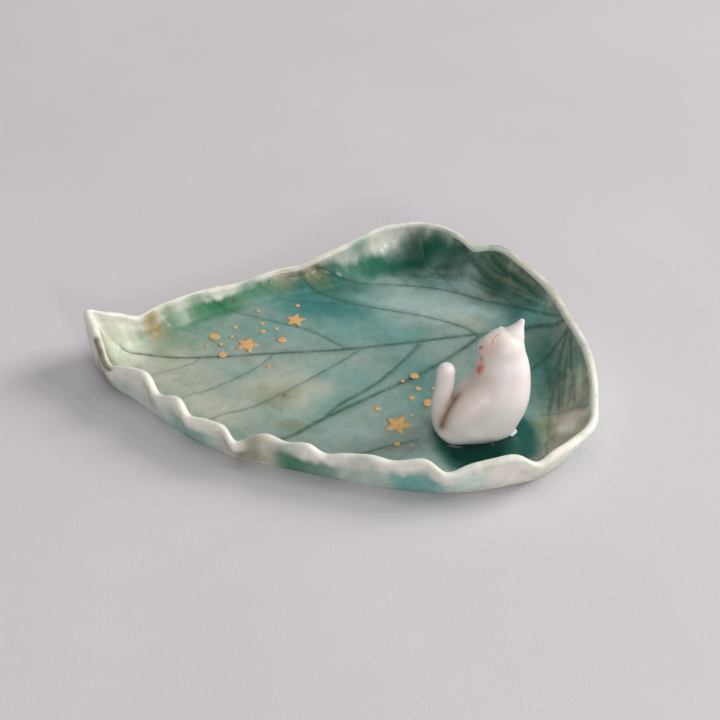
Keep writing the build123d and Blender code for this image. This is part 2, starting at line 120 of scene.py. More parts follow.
# Fine folds that fan out from the stalk over the two walls beside it. Each fan
# runs between two lines of places with as many folds as its count.
STALK_FANS = [
    (9, [(61, 13), (56, 22.5), (50.5, 30.5), (44.5, 38), (38, 44.5)],
        [(59.5, 13.5), (51, 21.5), (41.5, 30), (33.5, 35), (25, 38)]),
    (8, [(62.8, 7.5), (64, -4), (63.8, -14), (62, -23), (60, -31)],
        [(60.5, 6.5), (57, -3), (55.5, -12), (54, -21), (52, -30)]),
]
FOLD_DEPTH = 0.16
FAR = 20.0                      # distance of places that no vein or fold is near
BARE_SPOT, BARE_RADIUS = (57.5, -27), 5.4772    # where the folds hold no glaze
RIB_SPOT, RIB_RADIUS, RIB_STRENGTH = (50, 28), 13, 0.34

# Depths of the waves that hand smoothing leaves
WALL_WAVE, FLOOR_WAVE, OUTSIDE_WAVE = 0.16, 0.05, 0.12

# Glazes, as eight-bit colours; white serves only a painted highlight
GLAZES = {
    "sage": (150, 167, 158), "mist": (176, 200, 198), "straw": (192, 191, 174), "sand": (181, 178, 152),
    "cream": (243, 237, 228), "white": (238, 240, 238), "teal": (56, 130, 126), "lake": (112, 158, 153),
    "deep": (38, 105, 98), "forest": (0, 80, 64), "green": (20, 108, 82), "jade": (84, 146, 126),
    "leaf": (52, 128, 88), "fern": (122, 156, 138), "lichen": (172, 186, 160),
    "pear": (206, 213, 188), "moss": (74, 116, 100), "reed": (140, 156, 138),
    "ivy": (42, 88, 66), "olive": (128, 126, 88), "ochre": (160, 140, 88), "umber": (108, 96, 62),
    "mint": (204, 226, 216), "aqua": (104, 170, 162), "pool": (0, 50, 42), "lagoon": (4, 86, 78),
    "haze": (150, 182, 176), "turquoise": (70, 140, 136), "spruce": (0, 74, 56), "biscuit": (214, 202, 182),
}
FLOOR_GLAZE = "sage"
WALL_GLAZE = "cream"

# Washes of glaze inside the dish: x, y, half length, half width, turn in
# degrees, strength and glaze, laid one over another and spread a little.
INSIDE_SPREAD, OUTSIDE_SPREAD = 1.25, 1.15
INSIDE_WASHES = [
    (16, 27, 14, 7, -20, 0.8, "mist"), (27, 33, 9, 4, -25, 0.8, "mist"), (29, 21, 7, 4, -10, 0.6, "mist"),
    (-1, 23, 11, 7, -15, 0.9, "turquoise"), (-13, 26, 9, 6, -20, 0.75, "turquoise"),
    (4, 11, 13, 6, -10, 0.6, "lake"), (17, 11, 6, 4, 0, 0.5, "turquoise"), (42, 21, 7, 5, -40, 0.75, "lake"),
    (2, 33, 10, 4, -10, 0.8, "deep"), (12, 15, 17, 5, -15, 0.55, "lake"), (25, 36, 10, 4, -30, 0.65, "lake"),
    (34, 20, 4, 3, 0, 0.55, "sand"), (38, 17, 3, 3, 0, 0.4, "straw"), (-46, -1, 12, 9, 0, 0.8, "straw"),
    (-31, -17, 11, 6, -30, 0.75, "straw"), (-16, -8, 12, 8, -20, 0.65, "straw"),
    (-27, -3, 6, 3, -20, 0.7, "lake"), (-44, 8, 6, 4, 0, 0.6, "sand"), (-30, -3, 5, 4, 0, 0.4, "straw"),
    (-39, 12, 10, 6, 20, 0.6, "fern"), (-19, 15, 8, 6, 0, 0.6, "lake"), (-15, -13, 5, 4, 20, 0.6, "olive"),
    (-13.5, -12.5, 1.6, 1.4, 20, 0.6, "umber"), (-7, -13, 7, 5, 0, 0.5, "straw"),
    (-11, -24, 3, 2, 0, 0.5, "olive"), (4, -7, 12, 5, -20, 0.2, "mist"), (2, -14, 10, 4, 40, 0.65, "lake"),
    (-3, -21, 6, 3, 40, 0.6, "fern"), (6, -26, 9, 5, 0, 0.3, "mist"), (18, 0, 7, 6, 40, 0.7, "lake"),
    (24, -9, 5, 8, 0, 0.6, "teal"), (44, 4, 8, 7, 0, 0.5, "teal"), (53, -10, 6, 14, 5, 0.7, "moss"),
    (55, 4, 5, 6, 0, 0.6, "teal"), (50, -21, 4, 6, 0, 0.6, "deep"), (53, 5, 5, 7, 20, 0.5, "moss"),
    (25, 44, 9, 3.6, -12, 1, "spruce"), (34, 40.5, 6, 3, -35, 0.95, "forest"),
    (20, 41, 6, 3, -10, 0.8, "spruce"), (18, 42, 6, 4, 0, 0.85, "green"), (6, 40, 8, 4, 15, 0.8, "jade"),
    # The white wash at x 12, y 46 is a painted highlight on the pale rear rim.
    (12, 46, 5, 3, 10, 0.8, "white"), (44, 33, 7, 4.5, -45, 0.95, "ivy"), (50, 27, 6, 3.4, -50, 0.8, "ivy"),
    (49, 20, 6, 4, -50, 0.7, "teal"), (-9, 32.5, 8, 3, 10, 0.9, "green"),
    (11, 40.5, 7, 2.4, 10, 0.85, "green"), (38, 22, 6, 3, -20, 0.9, "mist"),
    (38, 42, 4, 2, -40, 0.7, "jade"), (54, 17, 5, 4, -50, 0.9, "aqua"), (-39, 21, 12, 4, 22, 0.95, "leaf"),
    (-31, 25, 6, 3, 25, 0.7, "leaf"), (-50, 13, 4, 3, 0, 0.95, "ochre"), (-44, 15.5, 4, 3, 20, 0.6, "fern"),
    (-46, 19, 7, 3, 20, 0.75, "cream"), (-17, 32.5, 9, 2.6, 20, 0.65, "lichen"),
    (-8, 36, 4, 3, 0, 0.7, "ochre"), (-22, 31, 5, 3, 20, 0.7, "leaf"), (-56, 6, 6, 7, 0, 0.85, "cream"),
    (-58, 0, 3.5, 4, 0, 0.75, "lichen"), (-53, 9, 3, 3, 0, 0.5, "fern"), (-62, 8, 5, 5, 0, 0.9, "cream"),
    (-60.2, -5.5, 3, 5.5, 14, 1, "umber"), (-60.6, 0.5, 1.4, 4, -10, 0.6, "ochre"),
    (61, -9, 4, 17, 3, 0.8, "reed"), (56, -26, 4.5, 7, 20, 0.85, "sand"), (52, -26, 3, 5, 10, 0.7, "olive"),
    (53, -35, 6, 4, 40, 0.8, "sand"), (50.5, -18, 3, 3, 0, 0.3, "haze"), (61.5, -11, 2.4, 6, 0, 0.8, "haze"),
    (59.5, -26, 2.6, 6, 25, 0.9, "biscuit"), (55.5, -5, 1.3, 7, 6, 0.5, "forest"),
    (58.5, -9, 1, 6, 8, 0.6, "forest"), (52.5, -9, 1.2, 6, 0, 0.5, "teal"), (33, 44, 5, 3, -20, 0.5, "lake"),
    (26, 47, 8, 2, 0, 0.8, "lichen"), (49, 35, 6, 2, -50, 0.6, "sand"), (1, -4, 8, 4, -20, 0.5, "lake"),
    (17, -15, 6, 4, 20, 0.5, "lake"), (-52, -12, 7, 4, -40, 0.5, "sand"), (20, -36, 8, 3, 0, 0.4, "mist"),
    (-26, -29, 7, 3, -30, 0.4, "fern"), (-56.5, 7, 4, 4, 0, 0.7, "pear"), (-22, -20, 4, 3, 0, 0.35, "fern"),
    (-2, 25, 10, 5, -15, 0.5, "deep"), (-12, 31, 5, 2.2, 18, 0.5, "teal"),
    (50, 23, 4, 3.5, -50, 0.3, "forest"), (37, 36.5, 3.5, 2.2, -40, 0.6, "ivy"),
    (60.3, -15.5, 2.2, 4.5, 0, 0.55, "biscuit"),
]
# How far the bare pale rim comes down inside: x, y, radius, shift and how much weaker.
RIM_BORDERS = [
    (-53, 17, 7, -0.28, 0), (-38, 25, 9, -0.1, 0), (-22, 32, 8, 0.05, 0.3), (-8, 38, 7, 0.05, 0.5),
    (3, 43, 5, -0.15, 0.35), (12, 47, 5.5, -0.22, 0.1), (28, 45, 8, 0.05, 0.35), (40, 36, 9, 0.1, 0.9),
    (52, 25, 9, 0.1, 0.85), (62, 10, 8, 0.1, 0.5), (65, -5, 9, 0.1, 0.45), (64, -20, 8, 0.05, 0.4),
    (58, -36, 8, 0.1, 0.1), (-61, -5, 5.5, 0.3, 0.5),
]
# Stains laid over the pale rim, and two spots of painted light on the right inner wall: x, y, radius,
# strength and glaze.
STAINS = [
    (-49.8, 13.4, 2.8, 0.85, "ochre"), (-44.5, 16.5, 3, 0.55, "leaf"), (-38, 21.4, 4, 0.65, "leaf"),
    (-25, 29, 3, 0.6, "jade"), (-15, 33.2, 3.2, 0.45, "ochre"), (-8, 38, 2.6, 0.3, "ochre"),
    (6, 42, 3, 0.5, "jade"), (21.5, 43.6, 3.4, 0.95, "spruce"), (30, 43.5, 3, 0.4, "green"),
    # The pear spot at x 62, y -10.2 is painted light on the shaded right inner wall; the cream spot at x 58,
    # y -26.5 is a bare pale patch lightened further with painted light.
    (41.5, 34, 2.6, 0.35, "ivy"), (61.2, 10.6, 2.6, 0.45, "lichen"), (62, -10.2, 3, 0.7, "pear"),
    (63.4, -16.5, 2.6, 0.6, "sand"), (58, -26.5, 3.2, 0.8, "cream"), (61.6, -27.5, 2.2, 0.6, "sand"),
    (34.5, 34.4, 4.4, 0.35, "mist"), (53.5, -3, 3, 0.4, "turquoise"),
]
# Stains on the rim's top and its outer side, in the same form.
RIM_STAINS = [
    (-19.8, -36.6, 2.6, 0.75, "olive"), (-16, -38, 3.4, 0.5, "sand"), (6, -44.4, 5, 0.4, "sage"),
    (-27, -34, 3, 0.3, "sand"), (-12, -39.5, 3, 0.5, "jade"), (31, -48, 3, 0.3, "mint"),
    (50, -44, 3.4, 0.35, "straw"), (62, -33, 3.6, 0.45, "mint"), (64.5, -6, 4, 0.3, "lichen"),
    (38, 41, 4.4, 0.95, "sand"), (44.5, 36, 4.5, 0.95, "reed"), (51, 29, 5, 0.95, "sand"),
    (57, 20, 4.5, 0.9, "sand"), (62, 10.5, 3.4, 0.75, "lichen"),
]
# Umber crease at the tip
CREST_LINE = [(-61.6, -2.4), (-60.9, -4.2), (-60, -6.2), (-58.9, -8.2), (-57.8, -9.8)]
# Specks that came through the glaze: x, y, radius and glaze.
SPECKS = [(-24.4, 25.9, 0.55, "ochre"), (-28.6, 25.2, 0.65, "umber"), (-13.2, -12.6, 0.45, "umber")]
# Washes outside, by the places on the rim over them.
OUTSIDE_WASHES = [
    (-60, -8, 3, 5, 0, 0.8, "umber"), (-55, -12, 5, 4, 0, 0.8, "mint"), (-46, -20, 8, 5, -45, 0.6, "mint"),
    (-36, -29, 9, 4, -30, 0.75, "aqua"), (-22, -35, 3, 3.4, 0, 1, "olive"),
    (-10, -39, 5, 4, 0, 0.95, "leaf"), (-3, -42, 7, 4, 0, 0.85, "jade"), (7, -44, 6, 4, 0, 0.7, "mint"),
    (18, -46, 7, 4, 0, 0.95, "aqua"), (26, -48, 5, 4, 0, 0.8, "aqua"), (33, -47, 5, 4, 0, 0.7, "mint"),
    (50, -44, 4, 4, 0, 0.35, "sand"), (60, -36, 6, 7, 0, 0.8, "mint"), (65, -20, 5, 9, 0, 0.75, "mint"),
    (65, 2, 4, 8, 0, 0.6, "haze"), (60, 20, 6, 6, 0, 0.5, "moss"), (45, 37, 7, 5, -40, 0.6, "jade"),
    (30, 48, 8, 4, 0, 0.7, "fern"), (12, 47, 8, 5, 0, 0.7, "jade"), (-8, 37, 7, 4, 20, 0.5, "ochre"),
    (-25, 31, 8, 4, 20, 0.7, "leaf"), (-42, 22, 8, 4, 20, 0.6, "aqua"), (-52, 14, 5, 4, 0, 0.5, "ochre"),
]

# Cat, as in the CAD
CAT_FOOT = (36.69, -23.62)
CAT_HEIGHT, CAT_LENGTH, CAT_DEPTH = 28, 22, 17
HEAD_RADIUS, MUZZLE_REACH, MUZZLE_RADIUS = 5.4, 7, 3.1
HEAD_TURN, HEAD_LIFT, HEAD_TILT = 20, 20, 42
EAR_HEIGHT, EAR_WIDTH, RIGHT_EAR_SHARE = 4, 5.8, 0.7
TAIL_WIDTH, TAIL_END_WIDTH = 6.4, 4.6
HEAD_SHARES = (0.2, 0.28, 0.725)
BODY_SHARES = [
    (-0.068, -0.055, 0, 0.377, 0.42), (-0.064, -0.05, 0.05, 0.42, 0.465), (-0.01, -0.02, 0.16, 0.427, 0.47),
    (0.136, 0.062, 0.33, 0.386, 0.435), (0.196, 0.156, 0.51, 0.323, 0.37), (0.178, 0.239, 0.66, 0.288, 0.32),
    (0.16, 0.265, 0.75, 0.235, 0.225),
]
EAR_ROOT_SHARES, EAR_AIM_SHARES = (-0.27, 0.65, 0.5), (-0.46, 1.34, 0.95)
EAR_TAPER_SHARES = [(0, 1), (0.35, 0.68), (0.7, 0.4), (1, 0.25), (1.11, 0.15)]
TAIL_SHARES = [
    (0.227, -0.19, 0.1), (0.045, -0.338, 0.1), (-0.18, -0.385, 0.105), (-0.366, -0.365, 0.112),
    (-0.46, -0.275, 0.18), (-0.482, -0.15, 0.31), (-0.452, -0.06, 0.464), (-0.436, 0.004, 0.616),
]

# What the sculptor's thumb added: the thigh that laps over the tail as x, y, z
# and radius, and the nape's fill up to the head with its radii; then the crease
# between tail and body as x, y, z, where brown shade is painted.
HAUNCH = [
    (30.4, -28.2, 3.4, 4.2), (30.2, -28.3, 6.3, 4.5), (31, -28.1, 9, 4.6), (33.2, -27, 11.6, 4.4),
    (36, -25.2, 14, 4.2), (38.4, -23.4, 16, 3.4),
]
NAPE_SHARES = [(0.19, 0.19, 0.52), (0.185, 0.235, 0.61), (0.19, 0.265, 0.68)]
NAPE_RADII = [(6.5, 5.8), (6.2, 5.7), (5.8, 5.6), (5.25, 5.3)]
CREASE = [
    (29.2, -26.3, 14.2), (28.6, -27.4, 13.4), (27.7, -28.4, 12.4), (26.9, -29.3, 11.2), (26.4, -30.2, 10),
    (26.1, -30.9, 9),
]
VOXEL = 0.22                    # of the sculpted cat
FIRST_PASSES, SOFT_PASSES = 12, 180
NECK_DROP, NECK_RADIUS = (0, 2, 4), 7
SOFT_SPOTS = [((35, -30, 6.5), 7.5), ((34, -25.5, 14.5), 5.5)]    # base and chest

# Tints of the cat: place in shares of the head's radius or of the body, radius,
# strength and eight-bit colour. On the head the first five are the pink blush
# round the mouth and nose, and the last two are painted shade on the face's
# shaded side; on the body the first three are painted shade on the chest and
# left side, and the last is a small dark spot.
PORCELAIN = (237, 230, 225)
# Painted shade along the crease between tail and body: reach, strength and eight-bit colour.
CREASE_SHADE_TINTS = [(1.9, 0.66, (150, 116, 90)), (0.75, 0.85, (98, 68, 44))]
HEAD_BLUSH_AND_SHADE = [
    ((1.03, -0.95, -0.42), 1.2, 0.95, (214, 98, 56)), ((1.04, -0.84, -0.2), 0.9, 0.8, (216, 108, 68)),
    ((1.05, -0.55, -0.2), 1, 0.45, (216, 138, 112)), ((1.1, -0.42, -0.1), 0.8, 0.55, (210, 116, 88)),
    ((1.18, -0.14, 0.2), 1.3, 0.3, (222, 160, 138)), ((0.95, 0.12, 0.5), 2.4, 0.52, (186, 146, 128)),
    ((1, -0.3, 0.25), 3, 0.3, (186, 146, 128)),
]
BODY_SHADE_AND_SPOT = [
    ((-0.36, -0.2, 0.28), 4.6, 0.34, (176, 140, 120)), ((-0.05, -0.1, 0.48), 4.8, 0.42, (184, 148, 130)),
    ((-0.14, -0.32, 0.34), 4.8, 0.32, (186, 154, 138)), ((-0.0323, -0.3635, 0.3786), 0.34, 0.6, (96, 80, 72)),
]
FOOT_TINT, FOOT_REACH, FOOT_STRENGTH = (96, 132, 120), 1.1, 0.4

# Closed eyes, as places in shares of the head's radius, and the nose
EYE_PLACES = [
    (0.54, 0.6, 0.59), (0.66, 0.55, 0.53), (0.78, 0.42, 0.52), (0.86, 0.28, 0.54), (0.89, 0.14, 0.56),
]
EYE_STEPS, EYE_HALF, EYE_BLUNT = 28, 0.22, 1.2
EYE_SECTION = [(-1, -0.05), (-0.55, 0.07), (0, 0.1), (0.55, 0.07), (1, -0.05)]
NOSE_SHIFT, NOSE_HALF_WIDTH, NOSE_HALF_HEIGHT, NOSE_LIFT, NOSE_SIDES = 0.7, 0.85, 0.62, 0.09, 28
NOSE_RINGS = [(0.4, 0.95), (0.75, 0.7), (1, -0.3)]

# Pool, as in the CAD
POOL_LENGTH, POOL_WIDTH = 38, 30
POOL_SHARES = [
    (-0.42, -0.1), (-0.4, -0.36), (-0.12, -0.52), (0.2, -0.5), (0.42, -0.3), (0.42, 0.02), (0.32, 0.28),
    (0.08, 0.34), (-0.24, 0.22),
]
# Its rings from the edge, as share and rise, and the glaze drawn up the cat's foot
POOL_SIDES, POOL_RINGS, POOL_SHIFT = 240, 64, (0.5, -1.5)
POOL_EDGE = [(1, -0.25), (0.99, -0.04), (0.97, 0.03), (0.94, 0.1), (0.9, 0.2), (0.86, 0.29)]
CLIMB, CLIMB_REACH, FILLET = 0.95, 1.1, 1.4
# Darkest glaze: its middle, its reach to the left, right, front and rear, and
# the steps of glaze, strength, and shares of the reach where each is full and gone.
SOAK_MIDDLE, SOAK_REACH = (36, -28.5), (12, 14.5, 15, 12)
SOAK_STEPS = [("haze", 0.25, 1.05, 1.4), ("lagoon", 0.9, 0.86, 1.16), ("pool", 0.95, 0.7, 1)]

# Gold: stars as x, y, width and turn, dots as x, y and width
PAINT = 0.15
STARS = {
    "front_star": (15.64, -23.83, 7.5, 66),
    "tip_star": (-23.93, 7.64, 6.75, 70),
    "rear_star": (-11.44, 18.23, 5.92, 80),
}
DOTS = {
    "front_dots": [
        (20.2, -5.1, 2.46), (17.1, -7.2, 1.08), (21, -10.1, 1.68), (24.9, -10.1, 1.05),
        (19.3, -13.7, 1.68), (23.5, -15.6, 3), (10.7, -17.8, 1.8), (19.2, -20.5, 0.9),
        (15.3, -30.8, 1.8), (18.7, -31.2, 0.75),
    ],
    "tip_dots": [
        (-32.9, 11.2, 3), (-30.2, 3.5, 2.4), (-27.5, 15.1, 1.5), (-34.5, 7.1, 1.26), (-30.9, 7.8, 1.2),
        (-28.3, 11.2, 1.08), (-20.5, 16.7, 1.35), (-20.1, 13.4, 1.62), (-16.4, 14.5, 1.26),
        (-14.7, 9.7, 2.52), (-17.9, -1.2, 1.2), (-21.8, 22.2, 1.14), (-11, 24.6, 1.32),
    ],
}
ARMS, ARM_BLUNT, WAIST_SHARE, STAR_STEPS, DOT_SIDES = 5, 0.12, 0.49, 4, 24
# Rings of a foil from its middle: share of the outline, share of the paint, and
# how far it lies from the worn border.
FOIL_RINGS = [(0.45, 0.9, 1), (0.84, 0.85, 0.6), (0.96, 0.62, 0.15), (1, 0, 0)]
FOIL_MIDDLE, FOIL_CRUMPLE = 0.86, 0.05

# Room: the table, soft lamps as place, size, power and tone, and the camera
TABLE_REACH, TABLE_TOP = 3000, -0.02
LAMPS = {
    "window": ((1820, 658, 1120), 980, 39.4, (1, 0.985, 0.97)),
    "pane": ((1010, -70, 910), 70, 1.5, (1, 0.99, 0.98)),
    "ceiling": ((-50, 150, 1300), 900, 3.4, (0.98, 0.99, 1)),
    "fill": ((100, -950, 520), 700, 2.2, (0.97, 0.98, 1)),
    "far_window": ((420, -890, 440), 110, 1.8, (0.97, 0.98, 1)),
}
ROOM_TONE, ROOM_STRENGTH = (0.93, 0.94, 0.96, 1), 0.26
CAMERA_PLACE, CAMERA_TILT = (6.15, -300.9, 256.6), 50
FOCAL_LENGTH, SENSOR_WIDTH, NEAREST, FARTHEST = 50, 24, 10, 10000


def linear(colour):
    """An eight-bit colour as linear light."""
    c = np.asarray(colour, float) / 255
    return np.where(c <= 0.04045, c / 12.92, ((c + 0.055) / 1.055) ** 2.4)


def rgba(*colour):
    return (*linear(colour), 1.0)


def lay(colours, glaze, share):
    """Lays a share of a glaze, given by name or as a colour, over the colours."""
    colours += (linear(GLAZES.get(glaze, glaze)) - colours) * share[..., None]


def ripple(x, y, size, seed=0.0):
    """Smooth waves from -1 to 1 over a plane, about the size apart."""
    u, v = x / size * 2 * math.pi, y / size * 2 * math.pi
    total = np.sin(0.83 * u + 0.41 * v + seed) + np.sin(-0.37 * u + 0.94 * v + 2.3 * seed + 1.7)
    total = total + np.sin(0.59 * u - 0.77 * v + 1.1 * seed + 4.1)
    return (total + 0.6 * np.sin(1.71 * u + 1.13 * v + 0.7 * seed)) / 3.6


def smooth_step(value, low, high):
    t = np.clip((value - low) / (high - low), 0, 1)
    return t * t * (3 - 2 * t)


def spot(x, y, middle, radius):
    """Falls smoothly from 1 at the middle."""
    return np.exp(-((x - middle[0]) ** 2 + (y - middle[1]) ** 2) / radius**2)


def line_gap(places, line, halves=None):
    """Distance from every place to a line through points, over its half widths if they're given."""
    line = np.array(line)
    gap = np.full(places.shape[:-1], np.inf)
    for a, b, half in zip(line, line[1:], np.ones(len(line)) if halves is None else halves):
        t = np.clip((places - a) @ (b - a) / ((b - a) @ (b - a)), 0, 1)
        gap = np.minimum(gap, np.linalg.norm(places - a - t[..., None] * (b - a), axis=-1) / half)
    return gap


def knots_along(points):
    """Share of the way round a closed row of points at each of them."""
    gaps = np.linalg.norm(np.roll(points, -1, axis=0) - points, axis=1)
    return np.concatenate([[0], np.cumsum(gaps)]) / gaps.sum()


def closed_spline(knots, values, count):
    """A smooth closed curve through the values at the knots, read at evenly spaced places."""
    n = len(values)
    at = np.arange(count) / count
    gap = np.diff(knots)
    slope = (np.roll(values, -1, axis=0) - values) / gap[:, None]
    system = np.zeros((n, n))
    for i in range(n):
        system[i, i - 1] = gap[i - 1]
        system[i, i] = 2 * (gap[i - 1] + gap[i])
        system[i, (i + 1) % n] = gap[i]
    bend = np.linalg.solve(system, 6 * (slope - np.roll(slope, 1, axis=0)))
    i = np.clip(np.searchsorted(knots, at, side="right") - 1, 0, n - 1)
    j = (i + 1) % n
    h = gap[i][:, None]
    left, right = (at - knots[i])[:, None], (knots[i + 1] - at)[:, None]
    curve = bend[i] * right**3 / (6 * h) + bend[j] * left**3 / (6 * h)
    curve += (values[i] / h - bend[i] * h / 6) * right
    return curve + (values[j] / h - bend[j] * h / 6) * left


def open_spline(values, count):
    """A smooth open curve through the values, read at evenly spaced places."""
    values = np.asarray(values, float)
    padded = np.vstack([2 * values[0] - values[1], values, 2 * values[-1] - values[-2]])
    at = np.linspace(0, len(values) - 1, count)
    i = np.clip(at.astype(int), 0, len(values) - 2)
    t = (at - i)[:, None]
    a, b, c, d = padded[i], padded[i + 1], padded[i + 2], padded[i + 3]
    return 0.5 * (2 * b + (c - a) * t + (2 * a - 5 * b + 4 * c - d) * t**2 + (3 * b - a - 3 * c + d) * t**3)


def smoothed(values, passes=1):
    for _ in range(passes):
        values = (np.roll(values, 1, axis=0) + values * 2 + np.roll(values, -1, axis=0)) / 4
    return values


# The leaf's surface

def rim_rows():
    """The rim's teeth, the wall's runs and the foot's insets at every point of the table."""
    points, runs, insets = [], [], []
    for row, following in zip(RIM_SHARES, RIM_SHARES[1:] + RIM_SHARES[:1]):
        start, end = (np.array(notch[:3]) * (LENGTH, WIDTH, TIP_HEIGHT) for notch in (row, following))
        chord = end - start
        outward = np.array([-chord[1], chord[0], 0]) / math.hypot(chord[0], chord[1])
        for step in range(row[7]):
            along = step / row[7]
            swell = math.sin(math.pi * along ** (FRONT_LEAN if row[1] < 0 else 1))
            lift = np.array([0, 0, row[4] * TOOTH_LIFT * swell])
            points.append(start + chord * along + outward * (row[3] * TOOTH_REACH * swell) + lift)
            runs.append(WALL_RUN * (row[5] + (following[5] - row[5]) * along))
            insets.append(FOOT_INSET * (row[6] + (following[6] - row[6]) * along))
    return np.array(points), np.array(runs)[:, None], np.array(insets)[:, None]


teeth, runs, insets = rim_rows()
edge = smoothed(teeth, EDGE_PASSES)
runs, insets = smoothed(runs, RUN_PASSES), smoothed(insets, RUN_PASSES)
heading = np.roll(edge, -1, axis=0) - np.roll(edge, 1, axis=0)
outward = np.stack([-heading[:, 1], heading[:, 0], 0 * heading[:, 0]], axis=1)
outward /= np.linalg.norm(outward, axis=1)[:, None]
bellies = BELLY * spot(edge[:, 0], edge[:, 1], BELLY_AT, BELLY_SPREAD)[:, None]

dense = closed_spline(knots_along(teeth), np.hstack([teeth, edge, outward, runs, insets, bellies]), MERIDIANS)
teeth, edge, outward = dense[:, 0:3], dense[:, 3:6], dense[:, 6:9]
outward = outward / np.linalg.norm(outward, axis=1)[:, None]
runs, insets, bellies = dense[:, 9:10], dense[:, 10:11], dense[:, 11:12]
down = np.array([0, 0, RIM_THICKNESS / 2])


def wall_top(across):
    return teeth - outward * (RIM_THICKNESS * (1 - across)) - down


def inner_row(rise):
    start = (edge - outward * runs) * (1, 1, 0) + (0, 0, SLAB)
    return start + (wall_top(0) - start) * (rise, rise, rise**2)


def outer_row(rise):
    start = (edge - outward * insets) * (1, 1, 0)
    belly = outward * bellies * math.sin(math.pi * rise)
    return start + (wall_top(1) - start) * (rise, rise, rise**2) + belly


def crest_row(turn):
    inner, outer = wall_top(0), wall_top(1)
    middle = (inner + outer) / 2 + (inner - outer) * (0.5 * math.cos(math.pi * turn))
    return middle + down * math.sin(math.pi * turn)


def middle_row(height):
    """The line along the midrib that the floor's rows close on."""
    rib = np.array(VEINS[0][3])
    order = np.argsort(rib[:, 0])
    x = np.clip(inner_row(0)[:, 0], *MIDDLE_ENDS)
    return np.stack([x, np.interp(x, rib[order, 0], rib[order, 1]), 0 * x + height], axis=1)


def between(start, end, count, last=0):
    """Rows from one row towards another."""
    return [start + (end - start) * (step / count) for step in range(count + last)]


# Each row has a part number: 0 on the floor, up to 1 on the inner wall, up to 2
# over the crest, up to 3 down the outer wall and 4 under the foot.
rows = between(middle_row(SLAB), inner_row(0), FLOOR_ROWS)
rows += [inner_row(step / INNER_ROWS) for step in range(INNER_ROWS)]
rows += [crest_row(step / CREST_ROWS) for step in range(CREST_ROWS)]
rows += [outer_row(1 - step / OUTER_ROWS) for step in range(OUTER_ROWS)]
rows += between(outer_row(0), middle_row(0), FOOT_ROWS, 1)
parts = [0.0] * FLOOR_ROWS + [step / INNER_ROWS for step in range(INNER_ROWS)]
parts += [1 + step / CREST_ROWS for step in range(CREST_ROWS)]
parts += [2 + step / OUTER_ROWS for step in range(OUTER_ROWS)] + [4.0] * (FOOT_ROWS + 1)
surface = np.array(rows) * (FIT, FIT, 1)
part = np.repeat(np.array(parts)[:, None], MERIDIANS, axis=1)
plan = surface[..., :2]
X, Y = plan[..., 0], plan[..., 1]

across_rows = np.gradient(surface, axis=0)
along_rows = np.roll(surface, -1, axis=1) - np.roll(surface, 1, axis=1)
normal = np.cross(along_rows, across_rows)
length = np.linalg.norm(normal, axis=2)
normal = np.where(length[..., None] > 1e-9, normal / np.maximum(length, 1e-9)[..., None], (0, 0, 1))
inside = part <= 1.0
normal[part == 0.0] = (0, 0, 1)
inward = (normal * outward[None]).sum(axis=2) < 0
flip = (inside & (normal[..., 2] < 0)) | ((part > 2) & inward & (part < 4))
normal[flip] *= -1


def line_distance(points, widths):
    """Distance from every inner place to a line through given points, in half widths."""
    line = open_spline(points, len(points) * 9)
    near = inside & (plan > line.min(axis=0) - 4).all(axis=-1) & (plan < line.max(axis=0) + 4).all(axis=-1)
    field = np.full(X.shape, FAR)
    field[near] = np.minimum(FAR, line_gap(plan[near], line, np.linspace(*widths, len(line)) / 2))
    return field


vein, fold = np.full(X.shape, FAR), np.full(X.shape, FAR)
vein_shade, sink = np.zeros(X.shape), np.zeros(X.shape)
for root, end, strength, points in VEINS:
    near = line_distance(points, (root, end))
    vein_shade = np.maximum(vein_shade, strength * np.exp(-(near / 4.0) ** 2))
    vein = np.minimum(vein, near / (0.35 + 0.65 * strength))
    sink = np.maximum(sink, VEIN_DEPTH * strength * np.exp(-(near / 2.0) ** 2))
for count, upper, lower in STALK_FANS:
    for i in range(count):
        share = (i + 0.35 * math.sin(7.3 * i)) / (count - 1)
        drawn = share + 0.5 / count * np.sin(2.1 * i + 1.7 * np.arange(len(upper)))[:, None]
        points = (1 - drawn) * upper + drawn * lower
        width = 0.7 + 1.3 * abs(math.sin(3.1 * i + 0.6))
        fold = np.minimum(fold, line_distance(points, (0.4, width)) + 0.8 * abs(math.sin(5.3 * i)))
sink = np.maximum(sink, FOLD_DEPTH * np.exp(-(fold / 1.2) ** 2))
fold += 8 * spot(X, Y, BARE_SPOT, BARE_RADIUS)
sink += smooth_step(part, 0.0, 0.5) * inside * WALL_WAVE * (1 + ripple(X + 0.6 * Y, Y, 7.0, 3.0))
sink += inside * FLOOR_WAVE * (1 + ripple(X, Y, 11.0, 1.0))
fade = np.where(inside, 1 - smooth_step(part, 0.86, 1.0), 0)
surface = surface - normal * (sink * fade)[..., None]
outside = smooth_step(part, 2.05, 2.3) * (1 - smooth_step(part, 2.8, 2.98)) * (part < 4)
outside = outside * OUTSIDE_WAVE * (1 + ripple(X, Y + 2 * surface[..., 2], 9.0, 5.0))
surface = surface - normal * outside[..., None]


# The leaf's colours

def wash(x, y, colours, table, spread):
    """Lays the washes of a table over the colours, their edges wandering."""
    wx = x + 1.6 * ripple(x, y, 13.0, 0.4) + 0.7 * ripple(x, y, 4.7, 2.0)
    wy = y + 1.6 * ripple(x, y, 12.0, 3.1) + 0.7 * ripple(x, y, 5.1, 5.0)
    for cx, cy, along, across, turn, strength, name in table:
        c, s = math.cos(math.radians(turn)), math.sin(math.radians(turn))
        dx, dy = wx - cx, wy - cy
        far = ((dx * c + dy * s) / (along * spread)) ** 2 + ((dy * c - dx * s) / (across * spread)) ** 2
        lay(colours, name, strength * np.exp(-1.3 * far**1.4))
    return colours


